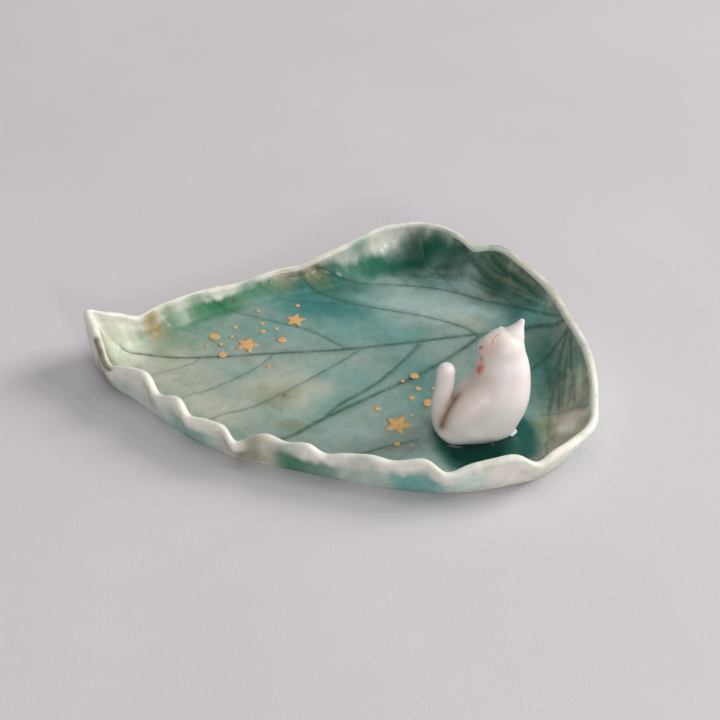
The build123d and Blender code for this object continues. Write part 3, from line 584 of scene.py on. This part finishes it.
def inside_colour(x, y):
    """Colour of the glaze inside the dish over the places x and y."""
    return wash(x, y, np.ones(x.shape + (3,)) * linear(GLAZES[FLOOR_GLAZE]), INSIDE_WASHES, INSIDE_SPREAD)


def soak(x, y, colours, share):
    """Deepens the colours where the pooled glaze lies round the cat's foot."""
    dx, dy = x - SOAK_MIDDLE[0], y - SOAK_MIDDLE[1]
    left, right, front, rear = SOAK_REACH
    far = np.hypot(dx / np.where(dx < 0, left, right), dy / np.where(dy < 0, front, rear))
    far += 0.06 * ripple(x, y, 8.0, 2.0)
    for name, strength, full, gone in SOAK_STEPS:
        wet = strength * (1 - smooth_step(far, full, gone)) * share
        if name == "pool":      # thinner towards the stalk
            wet = wet * (1 - 0.75 * smooth_step(x - 0.35 * (y + 28), 42.0, 47.0))
        lay(colours, name, wet)
    return (1 - smooth_step(far, 0.75, 1.1)) * share


colour = np.ones(surface.shape) * linear(GLAZES[WALL_GLAZE])
colour[inside] = inside_colour(X[inside], Y[inside])
rim_x, rim_y = np.broadcast_to(teeth[:, 0], X.shape), np.broadcast_to(teeth[:, 1], X.shape)
beyond = (part > 1.0) & (part < 4.0)
height = surface[..., 2][beyond]
wash_x, wash_y = rim_x[beyond] + 0.12 * height, rim_y[beyond] + 0.3 * height - 1.5
colour[beyond] = wash(wash_x, wash_y, colour[beyond], OUTSIDE_WASHES, OUTSIDE_SPREAD)
soak(X, Y, colour, inside * 1.0)
for x, y, radius, name in SPECKS:
    lay(colour, name, 0.85 * np.exp(-(np.hypot(X - x, Y - y) / radius) ** 4) * inside)

# Pale rim: cream where the glaze ran off the edge, its border wandering.
wander = 0.10 * ripple(rim_x, rim_y, 9.0, 1.3) + 0.05 * ripple(rim_x, rim_y, 3.1, 4.0)
start, strength = np.full(X.shape, 0.92), np.full(X.shape, 1.0)
for x, y, radius, shift, weaker in RIM_BORDERS:
    near = spot(rim_x, rim_y, (x, y), radius)
    start += shift * near
    strength -= weaker * near
pale = smooth_step(part + wander, start - 0.1, start + 0.1) * (1 - smooth_step(part + wander, 2.04, 2.24))
pale = pale * np.clip(strength, 0.1, 1.0)
lay(colour, "cream", pale * (part < 3))
stain_x, stain_y = X + 0.5 * ripple(X, Y, 4.3, 1.0), Y + 0.5 * ripple(X, Y, 3.9, 4.0)
on_top = smooth_step(part, 1.3, 1.6) * (1 - smooth_step(part, 2.5, 2.8))
for stains, where in ((STAINS, part < 1.4), (RIM_STAINS, on_top)):
    for x, y, radius, strength, name in stains:
        far = np.hypot(stain_x - x, stain_y - y) / radius
        lay(colour, name, strength * np.exp(-(far**2.5)) * where)
far = line_gap(plan, CREST_LINE) + 0.2 * ripple(X, Y, 2.7, 3.0)
lay(colour, "umber", 0.85 * np.exp(-(far**2)) * smooth_step(part, 0.6, 1.0) * (part < 1.95))

# Pale ribs between the folds where the glaze ran off them.
rib = smooth_step(fold + 0.25 * ripple(X, Y, 5.0, 2.0), 0.55, 1.25) * smooth_step(part, 0.4, 0.75)
lay(colour, "sand", RIB_STRENGTH * rib * (part < 1.5) * spot(X, Y, RIB_SPOT, RIB_RADIUS))
colour *= (1 - VEIN_SHADE * vein_shade * (part < 1))[..., None]


# Mesh and material helpers

def mesh_object(name, points, faces):
    """A smooth mesh from points in millimetres."""
    mesh = bpy.data.meshes.new(name)
    mesh.from_pydata([tuple(p) for p in (np.asarray(points) * MM).tolist()], [], faces)
    mesh.validate()
    mesh.polygons.foreach_set("use_smooth", [True] * len(mesh.polygons))
    made = bpy.data.objects.new(name, mesh)
    bpy.context.scene.collection.objects.link(made)
    return made


def ring_faces(rings, sides, start=0, closed=True):
    """Four-sided faces between rings of places, numbered from the start."""
    faces = []
    for ring in range(rings - 1):
        a = start + ring * sides
        for k in range(sides if closed else sides - 1):
            m = (k + 1) % sides
            faces.append((a + k, a + m, a + sides + m, a + sides + k))
    return faces


def domed_faces(rings, sides, start=0):
    """Faces that look up, from a middle place out over the rings round it."""
    faces = [(start, start + 1 + k, start + 1 + (k + 1) % sides) for k in range(sides)]
    return faces + [(a, d, c, b) for a, b, c, d in ring_faces(rings, sides, start + 1)]


def set_colours(made, name, values):
    layer = made.data.attributes.new(name, "FLOAT_COLOR", "POINT")
    flat = np.concatenate([np.clip(values, 0, 1), np.ones((len(values), 1))], axis=1)
    layer.data.foreach_set("color", flat.astype(np.float32).ravel())


def set_values(made, name, values):
    layer = made.data.attributes.new(name, "FLOAT", "POINT")
    layer.data.foreach_set("value", np.asarray(values, np.float32).ravel())


class Nodes:
    """A material's nodes, with short calls for the ones used here."""

    def __init__(self, name, **sockets):
        self.material = bpy.data.materials.new(name)
        self.material.use_nodes = True
        self.tree = self.material.node_tree
        self.shader = self.tree.nodes["Principled BSDF"]
        for socket, value in sockets.items():
            self.shader.inputs[socket.replace("_", " ")].default_value = value
        self.place = self.new("ShaderNodeTexCoord").outputs["Object"]

    def new(self, kind, **settings):
        node = self.tree.nodes.new(kind)
        for key, value in settings.items():
            setattr(node, key, value)
        return node

    def put(self, value, target):
        if hasattr(value, "is_output"):
            self.tree.links.new(value, target)
        else:
            target.default_value = value

    def drive(self, socket, value):
        """Sets one of the shader's sockets from a node's output."""
        self.put(value, self.shader.inputs[socket])

    def noise(self, scale, detail=4.0, roughness=0.55, distortion=0.0):
        """Noise whose scale is in features per millimetre."""
        node = self.new("ShaderNodeTexNoise")
        for socket, value in (("Vector", self.place), ("Scale", scale / MM), ("Detail", detail),
                              ("Roughness", roughness), ("Distortion", distortion)):
            self.put(value, node.inputs[socket])
        return node.outputs["Fac"]

    def net(self, scale):
        """Distance to the edge of cells, their number in cells per millimetre."""
        node = self.new("ShaderNodeTexVoronoi", feature="DISTANCE_TO_EDGE")
        self.put(self.place, node.inputs["Vector"])
        self.put(scale / MM, node.inputs["Scale"])
        return node.outputs["Distance"]

    def ramp(self, value, low, high, to_low=0.0, to_high=1.0):
        node = self.new("ShaderNodeMapRange", interpolation_type="SMOOTHSTEP")
        for socket, number in (("Value", value), ("From Min", low), ("From Max", high),
                               ("To Min", to_low), ("To Max", to_high)):
            self.put(number, node.inputs[socket])
        return node.outputs["Result"]

    def join(self, operation, a, b):
        node = self.new("ShaderNodeMath", operation=operation)
        self.put(a, node.inputs[0])
        self.put(b, node.inputs[1])
        return node.outputs["Value"]

    def times(self, a, b):
        return self.join("MULTIPLY", a, b)

    def plus(self, a, b):
        return self.join("ADD", a, b)

    def mix(self, share, a, b, blend="MIX"):
        node = self.new("ShaderNodeMix", data_type="RGBA", blend_type=blend)
        for socket, value in (("Factor", share), ("A", a), ("B", b)):
            self.put(value, node.inputs[socket])
        return node.outputs["Result"]

    def attribute(self, name, colour=False):
        node = self.new("ShaderNodeAttribute", attribute_name=name)
        return node.outputs["Color" if colour else "Fac"]

    def bump(self, height, depth, strength=1.0):
        """Bumps as deep as the depth in millimetres."""
        node = self.new("ShaderNodeBump")
        for socket, value in (("Height", height), ("Distance", depth * MM), ("Strength", strength)):
            self.put(value, node.inputs[socket])
        self.drive("Normal", node.outputs["Normal"])


def finish_piece(made, material, slot, *nodes):
    """Paints a piece and sets it on the one body in place of its CAD nodes."""
    made.data.materials.clear()
    made.data.materials.append(material)
    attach(made, "root")
    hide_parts(*nodes)


# Materials

def mottled_glaze(n):
    """The painted glazes with clouds, warm stains and fine specks."""
    cloud, stain, speck = n.noise(0.16, 5, 0.6, 0.6), n.noise(0.33, 4, 0.6), n.noise(1.9, 3, 0.6)
    mottled = n.attribute("glaze", colour=True)
    mottled = n.mix(n.ramp(cloud, 0.34, 0.66, 0.0, 0.42), mottled, rgba(206, 219, 212), "MULTIPLY")
    mottled = n.mix(n.ramp(stain, 0.48, 0.66, 0.0, 0.40), mottled, rgba(232, 226, 204), "MULTIPLY")
    return n.mix(n.ramp(speck, 0.25, 0.75, 0.0, 0.12), mottled, rgba(206, 208, 200), "MULTIPLY")


def leaf_relief(n):
    """Fine leaf net and hand-smoothed waves pressed in the porcelain."""
    return n.plus(n.ramp(n.net(0.32), 0.0, 0.16, 0.0, 0.4), n.times(n.noise(0.8, 4, 0.6), 1.2))


def leaf_glaze():
    """Running glaze over translucent porcelain, darker where it fills the veins."""
    n = Nodes(
        "leaf_glaze", IOR=1.33, Coat_Weight=0.08, Coat_Roughness=0.06,
        Subsurface_Weight=0.25, Subsurface_Scale=0.003, Subsurface_Radius=(1.0, 0.92, 0.84),
    )
    drift = n.times(n.noise(0.7, 3), 1.5)
    line = n.ramp(n.plus(n.attribute("vein"), drift), 0.5, 3.3, 1.0, 0.0)
    line = n.times(line, n.ramp(n.attribute("shade"), 0.2, 1.0, 0.25, 0.80))
    line = n.times(line, n.ramp(n.noise(0.25, 2), 0.3, 0.6, 0.5, 1.0))
    veined = n.mix(line, mottled_glaze(n), rgba(34, 84, 70))
    crease = n.ramp(n.plus(n.attribute("fold"), n.times(n.noise(0.6, 3), 1.8)), 0.8, 3.8, 0.74, 0.0)
    crease = n.times(crease, n.ramp(n.noise(0.14, 3), 0.38, 0.6, 0.25, 1.0))
    n.drive("Base Color", n.mix(crease, veined, rgba(40, 84, 66)))
    n.drive("Roughness", n.ramp(n.noise(0.45, 4, 0.6), 0.3, 0.7, 0.18, 0.34))
    n.bump(n.times(leaf_relief(n), n.attribute("relief")), 0.11, 0.5)
    return n.material


def pool_glaze():
    """The leaf's glaze where it lies deep and level, glossier the deeper it is."""
    n = Nodes(
        "pool_glaze", IOR=1.17, Coat_Roughness=0.03,
        Subsurface_Weight=0.08, Subsurface_Scale=0.003, Subsurface_Radius=(1.0, 0.92, 0.84),
    )
    wet = n.attribute("wet")
    n.drive("Base Color", n.mix(n.times(wet, 0.7), mottled_glaze(n), n.attribute("glaze", colour=True)))
    n.drive("Roughness", n.ramp(wet, 0.0, 0.8, 0.26, 0.04))
    n.drive("Coat Weight", n.attribute("fillet"))
    ripples = n.times(n.noise(0.42, 2), n.ramp(wet, 0.2, 0.9, 0.0, 0.6))
    n.bump(n.plus(ripples, n.times(leaf_relief(n), n.ramp(wet, 0.0, 0.7, 1.0, 0.35))), 0.11, 0.5)
    return n.material


def cat_glaze():
    """Satin white porcelain with a warm blush, and painted shade: soft brown in the creases and warm grey on
    the side away from the light.
    """
    n = Nodes(
        "cat_glaze", IOR=1.46, Coat_Weight=0.10, Coat_Roughness=0.25,
        Subsurface_Weight=0.12, Subsurface_Scale=0.0016, Subsurface_Radius=(1.0, 0.62, 0.5),
    )
    tint_and_shade = n.attribute("glaze", colour=True)
    faint = n.mix(n.ramp(n.noise(0.22, 4), 0.35, 0.7, 0.0, 0.5), tint_and_shade, rgba(250, 243, 236), "MULTIPLY")
    n.drive("Base Color", n.mix(n.ramp(n.noise(2.6, 2), 0.70, 0.80, 0.0, 0.16), faint, rgba(168, 146, 132)))
    n.drive("Roughness", n.ramp(n.noise(0.6, 4), 0.3, 0.7, 0.36, 0.50))
    n.bump(n.plus(n.noise(0.5, 4, 0.6), n.times(n.noise(3.5, 3), 0.25)), 0.10, 0.6)
    return n.material


def gold_lustre():
    """Fired gold leaf, slightly crumpled, thin and redder at its edges."""
    n = Nodes("gold_lustre", Metallic=0.35)
    gold = n.mix(n.ramp(n.noise(1.3, 4, 0.65), 0.35, 0.7), rgba(238, 196, 136), rgba(222, 174, 114))
    border = n.ramp(n.attribute("border"), 0.0, 1.0, 0.5, 0.0)
    n.drive("Base Color", n.mix(border, gold, rgba(184, 128, 74)))
    n.drive("Roughness", n.ramp(n.noise(2.2, 3), 0.3, 0.7, 0.26, 0.46))
    n.bump(n.noise(1.6, 4, 0.7), 0.09, 0.7)
    return n.material


def nose_glaze():
    n = Nodes("nose_glaze", Roughness=0.3, IOR=1.48, Coat_Weight=0.2)
    n.drive("Base Color", n.mix(n.ramp(n.noise(1.8, 3), 0.35, 0.7), rgba(196, 120, 98), rgba(214, 150, 130)))
    n.bump(n.noise(2.5, 3), 0.03, 0.4)
    return n.material


def paper():
    n = Nodes("paper", Roughness=0.9)
    cloud = n.ramp(n.noise(0.012, 4), 0.3, 0.7)
    n.drive("Base Color", n.mix(cloud, rgba(202, 197, 199), rgba(206, 201, 204)))
    n.bump(n.noise(1.4, 3, 0.6), 0.12, 0.5)
    return n.material


# The dish

grid = np.arange(len(rows) * MERIDIANS).reshape(len(rows), MERIDIANS)
turned = np.roll(grid, -1, axis=1)
quads = np.stack([grid[:-1], grid[1:], turned[1:], turned[:-1]], axis=-1)
leaf = mesh_object("glazed_leaf", surface.reshape(-1, 3), quads.reshape(-1, 4).tolist())
# The leaf's colours hold a painted highlight under the rear rim and painted light on the right inner wall.
set_colours(leaf, "glaze", colour.reshape(-1, 3))
set_values(leaf, "vein", np.minimum(vein, 12))
set_values(leaf, "fold", np.minimum(fold, 12))
set_values(leaf, "shade", vein_shade)
set_values(leaf, "relief", np.where(inside, 1 - 0.8 * pale, 0.12))
finish_piece(leaf, leaf_glaze(), "leaf_glaze", "leaf_dish")


# The cat

def cat_point(shares):
    x, y, z = shares
    return Vector((CAT_FOOT[0] + x * CAT_LENGTH, CAT_FOOT[1] + y * CAT_DEPTH, SLAB + z * CAT_HEIGHT))


facing = Vector((-1, 0, 0))
facing.rotate(Matrix.Rotation(math.radians(HEAD_LIFT), 3, "Y"))
facing.rotate(Matrix.Rotation(math.radians(HEAD_TURN), 3, "Z"))
head_middle = cat_point(HEAD_SHARES)
left_side = Vector((0, 0, 1)).cross(facing).normalized()
left_side.rotate(Matrix.Rotation(math.radians(HEAD_TILT), 3, facing))
crown = facing.cross(left_side)


def head_point(shares, side=1):
    forward, up, across = shares
    return head_middle + (facing * forward + crown * up + left_side * (side * across)) * HEAD_RADIUS


def heading_at(points, i):
    return (points[min(i + 1, len(points) - 1)] - points[max(i - 1, 0)]).normalized()


def tube(points, radii, first=(1, 0, 0), sides=48):
    """A closed skin round the points, the first direction setting its seam."""
    points, first = [Vector(p) for p in points], Vector(first)
    verts = []
    for i, point in enumerate(points):
        heading = heading_at(points, i)
        u = (first - heading * first.dot(heading)).normalized()
        v = heading.cross(u)
        a, b = radii[i] if isinstance(radii[i], tuple) else (radii[i], radii[i])
        for k in range(sides):
            turn = 2 * math.pi * k / sides
            verts.append(point + u * (a * math.cos(turn)) + v * (b * math.sin(turn)))
    faces = ring_faces(len(points), sides)
    faces.append(tuple(reversed(range(sides))))
    faces.append(tuple(range((len(points) - 1) * sides, len(points) * sides)))
    return mesh_object("form", verts, faces)


def body_form():
    body = open_spline(BODY_SHARES, 40)
    radii = [(r[3] * CAT_LENGTH, r[4] * CAT_DEPTH) for r in body]
    return tube([cat_point(r[:3]) for r in body], radii, sides=72)


def head_form():
    """Skull and muzzle drawn into one egg."""
    spacing = MUZZLE_REACH - MUZZLE_RADIUS
    tangent = math.acos((HEAD_RADIUS - MUZZLE_RADIUS) / spacing)
    back = math.pi - 0.02
    profile = [(0, HEAD_RADIUS, t) for t in np.linspace(back, tangent, 25)]
    profile += [(spacing, MUZZLE_RADIUS, t + 0.02) for t in np.linspace(tangent, 0, 15)]
    line = [head_middle + facing * (c + r * math.cos(t)) for c, r, t in profile]
    return tube(line, [r * math.sin(t) for _, r, t in profile], left_side)


def ear_form(side, size):
    root, aim = head_point(EAR_ROOT_SHARES, side), head_point(EAR_AIM_SHARES, side)
    lean = (aim - root).normalized()
    taper = open_spline(EAR_TAPER_SHARES, 20)
    line = [root + lean * (EAR_HEIGHT * size * t[0]) for t in taper]
    return tube(line, [max(EAR_WIDTH * t[1] / 2, 0.1) for t in taper], facing, 32)


def tail_form():
    line = open_spline([cat_point(s) for s in TAIL_SHARES], 60)
    radii = list(np.linspace(TAIL_WIDTH, TAIL_END_WIDTH, len(line)) / 2)
    end, heading = Vector(line[-1]), Vector(line[-1] - line[-2]).normalized()
    for turn in np.radians(np.linspace(8, 86, 12)):
        line = np.vstack([line, end + heading * (math.sin(turn) * TAIL_END_WIDTH / 2)])
        radii.append(TAIL_END_WIDTH / 2 * math.cos(turn))
    return tube(line, radii, Vector((0, 1, 0)).cross(Vector((-1, 0, 0.01))), 40)


def shaped(made, kind, **settings):
    """Adds a modifier and applies it to the mesh."""
    step = made.modifiers.new(kind, kind)
    for key, value in settings.items():
        setattr(step, key, value)
    graph = bpy.context.evaluated_depsgraph_get()
    mesh = bpy.data.meshes.new_from_object(made.evaluated_get(graph))
    made.modifiers.clear()
    made.data = mesh


haunch = open_spline(HAUNCH, 24)
forms = [
    body_form(), head_form(), ear_form(1, 1.0), ear_form(-1, RIGHT_EAR_SHARE), tail_form(),
    tube([cat_point(s) for s in NAPE_SHARES] + [head_middle], NAPE_RADII),
    tube(haunch[:, :3], list(haunch[:, 3]), sides=40),
]
bpy.ops.object.select_all(action="DESELECT")
for form in forms:
    form.select_set(True)
bpy.context.view_layer.objects.active = forms[0]
bpy.ops.object.join()
cat = forms[0]
cat.name = "porcelain_cat"
shaped(cat, "REMESH", mode="VOXEL", voxel_size=VOXEL * MM, use_smooth_shade=True)
shaped(cat, "SMOOTH", factor=0.6, iterations=FIRST_PASSES)
soft = cat.vertex_groups.new(name="soft")
soft_spots = [(head_middle - Vector(NECK_DROP), NECK_RADIUS)] + SOFT_SPOTS
for vertex in cat.data.vertices:
    place = vertex.co / MM
    weight = math.exp(-(min((place - Vector(middle)).length / radius for middle, radius in soft_spots) ** 4))
    if weight > 0.02:
        soft.add([vertex.index], weight, "REPLACE")
shaped(cat, "SMOOTH", factor=0.9, iterations=SOFT_PASSES, vertex_group="soft")
cat.data.polygons.foreach_set("use_smooth", [True] * len(cat.data.polygons))

verts = np.zeros(len(cat.data.vertices) * 3)
cat.data.vertices.foreach_get("co", verts)
verts = verts.reshape(-1, 3) / MM
verts[:, 2] = np.maximum(verts[:, 2], SLAB + 0.02)
cat.data.vertices.foreach_set("co", (verts * MM).ravel())
skin = BVHTree.FromPolygons(verts.tolist(), [tuple(p.vertices) for p in cat.data.polygons])

tint_and_shade = np.ones(verts.shape) * linear(PORCELAIN)
# Painted shade: brown laid along the crease between tail and body.
crease = line_gap(verts, CREASE)
for reach, strength, shade in CREASE_SHADE_TINTS:
    lay(tint_and_shade, shade, strength * np.exp(-(crease / reach) ** 2))
# Pink blush on the head; painted shade on the face, chest and left side; a small dark spot.
for tints, point in ((HEAD_BLUSH_AND_SHADE, head_point), (BODY_SHADE_AND_SPOT, cat_point)):
    for shares, radius, strength, shade in tints:
        far = np.linalg.norm(verts - np.array(point(shares)), axis=1) / radius
        lay(tint_and_shade, shade, strength * np.exp(-(far**2.4)))
lay(tint_and_shade, FOOT_TINT, FOOT_STRENGTH * np.exp(-((verts[:, 2] - SLAB) / FOOT_REACH) ** 2))
# These colours carry painted shade along with the blush.
set_colours(cat, "glaze", tint_and_shade)
finish_piece(
    cat, cat_glaze(), "cat_glaze", "cat_body", "cat_head", "cat_left_ear", "cat_right_ear", "cat_tail",
)


# Eyes and nose, laid on the skin

GOLD = gold_lustre()


def laid_piece(name, verts, faces, border, material, slot, node):
    """A thin painted piece whose border value tells how far each place is from its edge."""
    made = mesh_object(name, verts, faces)
    set_values(made, "border", border)
    finish_piece(made, material, slot, node)


def skin_point(place, lift):
    """The place drawn onto the cat's skin and lifted off it, and the skin's direction there."""
    hit, normal, _, _ = skin.find_nearest(place)
    return hit + normal * lift, normal


def eye_line(name, side, node):
    """A closed eye: a thin raised line of gold in an arc."""
    places = [head_point(shares, side) for shares in open_spline(EYE_PLACES, EYE_STEPS)]
    verts, border = [], []
    for i, place in enumerate(places):
        beside = heading_at(places, i).cross(skin_point(place, 0)[1]).normalized()
        half = EYE_HALF * math.sin(math.pi * (i + EYE_BLUNT) / (EYE_STEPS - 1 + 2 * EYE_BLUNT)) ** 0.5
        for off, lift in EYE_SECTION:
            verts.append(skin_point(place + beside * (off * half), lift)[0])
            border.append(1 - abs(off))
    faces = ring_faces(EYE_STEPS, len(EYE_SECTION), closed=False)
    laid_piece(name, verts, faces, border, GOLD, "gold_lustre", node)


def painted_nose():
    """A thin domed spot at the muzzle's end."""
    middle = head_middle + facing * MUZZLE_REACH + left_side * NOSE_SHIFT
    verts, border = [skin_point(middle, NOSE_LIFT)[0]], [1.0]
    for share, rise in NOSE_RINGS:
        for k in range(NOSE_SIDES):
            turn = 2 * math.pi * k / NOSE_SIDES
            wobble = share * (1 + 0.06 * math.sin(3 * turn + 1) + 0.04 * math.sin(5 * turn))
            place = middle + left_side * (NOSE_HALF_WIDTH * wobble * math.cos(turn))
            place = place + crown * (NOSE_HALF_HEIGHT * wobble * math.sin(turn))
            verts.append(skin_point(place, NOSE_LIFT * rise)[0])
            border.append(1 - share)
    faces = domed_faces(len(NOSE_RINGS), NOSE_SIDES)
    laid_piece("painted_nose", verts, faces, border, nose_glaze(), "nose_glaze", "cat_nose")


eye_line("left_eye_line", 1, "cat_left_eye")
eye_line("right_eye_line", -1, "cat_right_eye")
painted_nose()


# The pool

points = np.array(POOL_SHARES) * (POOL_LENGTH, POOL_WIDTH) + CAT_FOOT
outline = closed_spline(knots_along(points), points, POOL_SIDES)
middle = np.array(CAT_FOOT) + POOL_SHIFT
rings = POOL_EDGE + [(0.84 - 0.0125 * i, min(0.32 + 0.005 * i, 0.42)) for i in range(POOL_RINGS)]
verts = [(*(middle + (point - middle) * share), SLAB + rise) for share, rise in rings for point in outline]
faces = ring_faces(len(rings), POOL_SIDES)
faces.append(tuple(range((len(rings) - 1) * POOL_SIDES, len(rings) * POOL_SIDES)))
faces.append(tuple(reversed(range(POOL_SIDES))))
verts = np.array(verts)
verts[:, 2] += 0.05 * ripple(verts[:, 0], verts[:, 1], 5.0, 1.0) * np.clip((verts[:, 2] - SLAB) / 0.3, 0, 1)
away = np.array([skin.find_nearest(Vector(v))[3] for v in verts])
wave = ripple(verts[:, 0], verts[:, 1], 8.0, 3.0)
climb = CLIMB * np.exp(-away / CLIMB_REACH) * (1 + 0.12 * wave)
climb += 0.05 * np.sin(4.5 * away + 1.5 * wave) * np.exp(-away / 1.6)
verts[:, 2] += np.where(verts[:, 2] > SLAB + 0.2, climb, 0)
puddle = mesh_object("poured_glaze", verts, faces)
tone = inside_colour(verts[:, 0], verts[:, 1])
wet = soak(verts[:, 0], verts[:, 1], tone, np.ones(len(verts)))
set_colours(puddle, "glaze", tone)
set_values(puddle, "wet", wet)
set_values(puddle, "fillet", np.exp(-((away / FILLET) ** 2)))
finish_piece(puddle, pool_glaze(), "pool_glaze", "glaze_pool")


# Gold on the floor

def foil(name, outlines, node):
    """Thin gold foils with soft edges, each from its outline round a middle."""
    verts, faces, border = [], [], []
    for middle, points in outlines:
        faces += domed_faces(len(FOIL_RINGS), len(points), len(verts))
        verts.append((*middle, SLAB + PAINT * FOIL_MIDDLE))
        border.append(1.0)
        for share, rise, inward in FOIL_RINGS:
            for p in points:
                x, y = np.array(middle) + (p - np.array(middle)) * share
                crumple = FOIL_CRUMPLE * PAINT * math.sin(7.1 * x + 3.3 * y) * (rise > 0.7)
                verts.append((x, y, SLAB + PAINT * rise + crumple))
                border.append(inward)
    laid_piece(name, verts, faces, border, GOLD, "gold_lustre", node)


def star_outline(x, y, width, turn, seed):
    """A star with blunt arms, each a little different."""
    corners = []
    for arm in range(ARMS):
        angle = math.radians(turn + 360 / ARMS * arm)
        reach = width / 2 * (1 - 0.05 * (1 + math.sin(2.7 * arm + seed)) / 2)
        for off, share in ((-ARM_BLUNT, 0.93), (0.0, 1.0), (ARM_BLUNT, 0.93)):
            corners.append((reach * share, angle + off))
        inner = angle + math.radians(180 / ARMS + 2 * math.sin(3.1 * arm + seed))
        corners.append((width / 2 * WAIST_SHARE * (1 + 0.05 * math.sin(1.9 * arm + seed)), inner))
    places = np.array([(x + r * math.cos(t), y + r * math.sin(t)) for r, t in corners])
    fine = []
    for a, b in zip(places, np.roll(places, -1, axis=0)):
        fine += between(a, b, STAR_STEPS)
    return smoothed(np.array(fine))


def dot_outline(x, y, width, seed):
    """A nearly round dot."""
    turns = np.arange(DOT_SIDES) / DOT_SIDES * 2 * math.pi
    uneven = 0.035 * (1 + np.sin(2 * turns + seed)) / 2 + 0.02 * (1 + np.sin(3 * turns + 2 * seed)) / 2
    radius = width / 2 * (0.985 - uneven)
    return np.stack([x + radius * np.cos(turns), y + radius * np.sin(turns)], axis=1)


for i, (node, (x, y, width, turn)) in enumerate(STARS.items()):
    foil(node.replace("star", "gold_star"), [((x, y), star_outline(x, y, width, turn, 1.3 * i))], node)
for node, places in DOTS.items():
    outlines = [((x, y), dot_outline(x, y, width, 1.7 * i)) for i, (x, y, width) in enumerate(places)]
    foil(node.replace("dots", "gold_dots"), outlines, node)


# Table, light and camera

corners = [(x * TABLE_REACH, y * TABLE_REACH, TABLE_TOP) for x, y in ((-1, -1), (1, -1), (1, 1), (-1, 1))]
table = mesh_object("table", corners, [(0, 1, 2, 3)])
table.data.materials.append(paper())

for name, (place, size, power, tone) in LAMPS.items():
    light = bpy.data.lights.new(name, "AREA")
    light.shape, light.size, light.energy, light.color = "SQUARE", size * MM, power, tone
    lamp = bpy.data.objects.new(name, light)
    lamp.location = Vector(place) * MM
    lamp.rotation_mode = "QUATERNION"
    lamp.rotation_quaternion = Vector(place).to_track_quat("Z", "Y")
    bpy.context.scene.collection.objects.link(lamp)

world = bpy.data.worlds.new("room")
bpy.context.scene.world = world
world.use_nodes = True
world.node_tree.nodes["Background"].inputs["Color"].default_value = ROOM_TONE
world.node_tree.nodes["Background"].inputs["Strength"].default_value = ROOM_STRENGTH

lens = bpy.data.cameras.new("camera")
lens.lens, lens.sensor_width = FOCAL_LENGTH, SENSOR_WIDTH
lens.clip_start, lens.clip_end = NEAREST * MM, FARTHEST * MM
camera = bpy.data.objects.new("camera", lens)
camera.location = Vector(CAMERA_PLACE) * MM
camera.rotation_euler = (math.radians(CAMERA_TILT), 0, 0)
bpy.context.scene.collection.objects.link(camera)
bpy.context.scene.camera = camera
bpy.context.scene.view_settings.view_transform = "Standard"
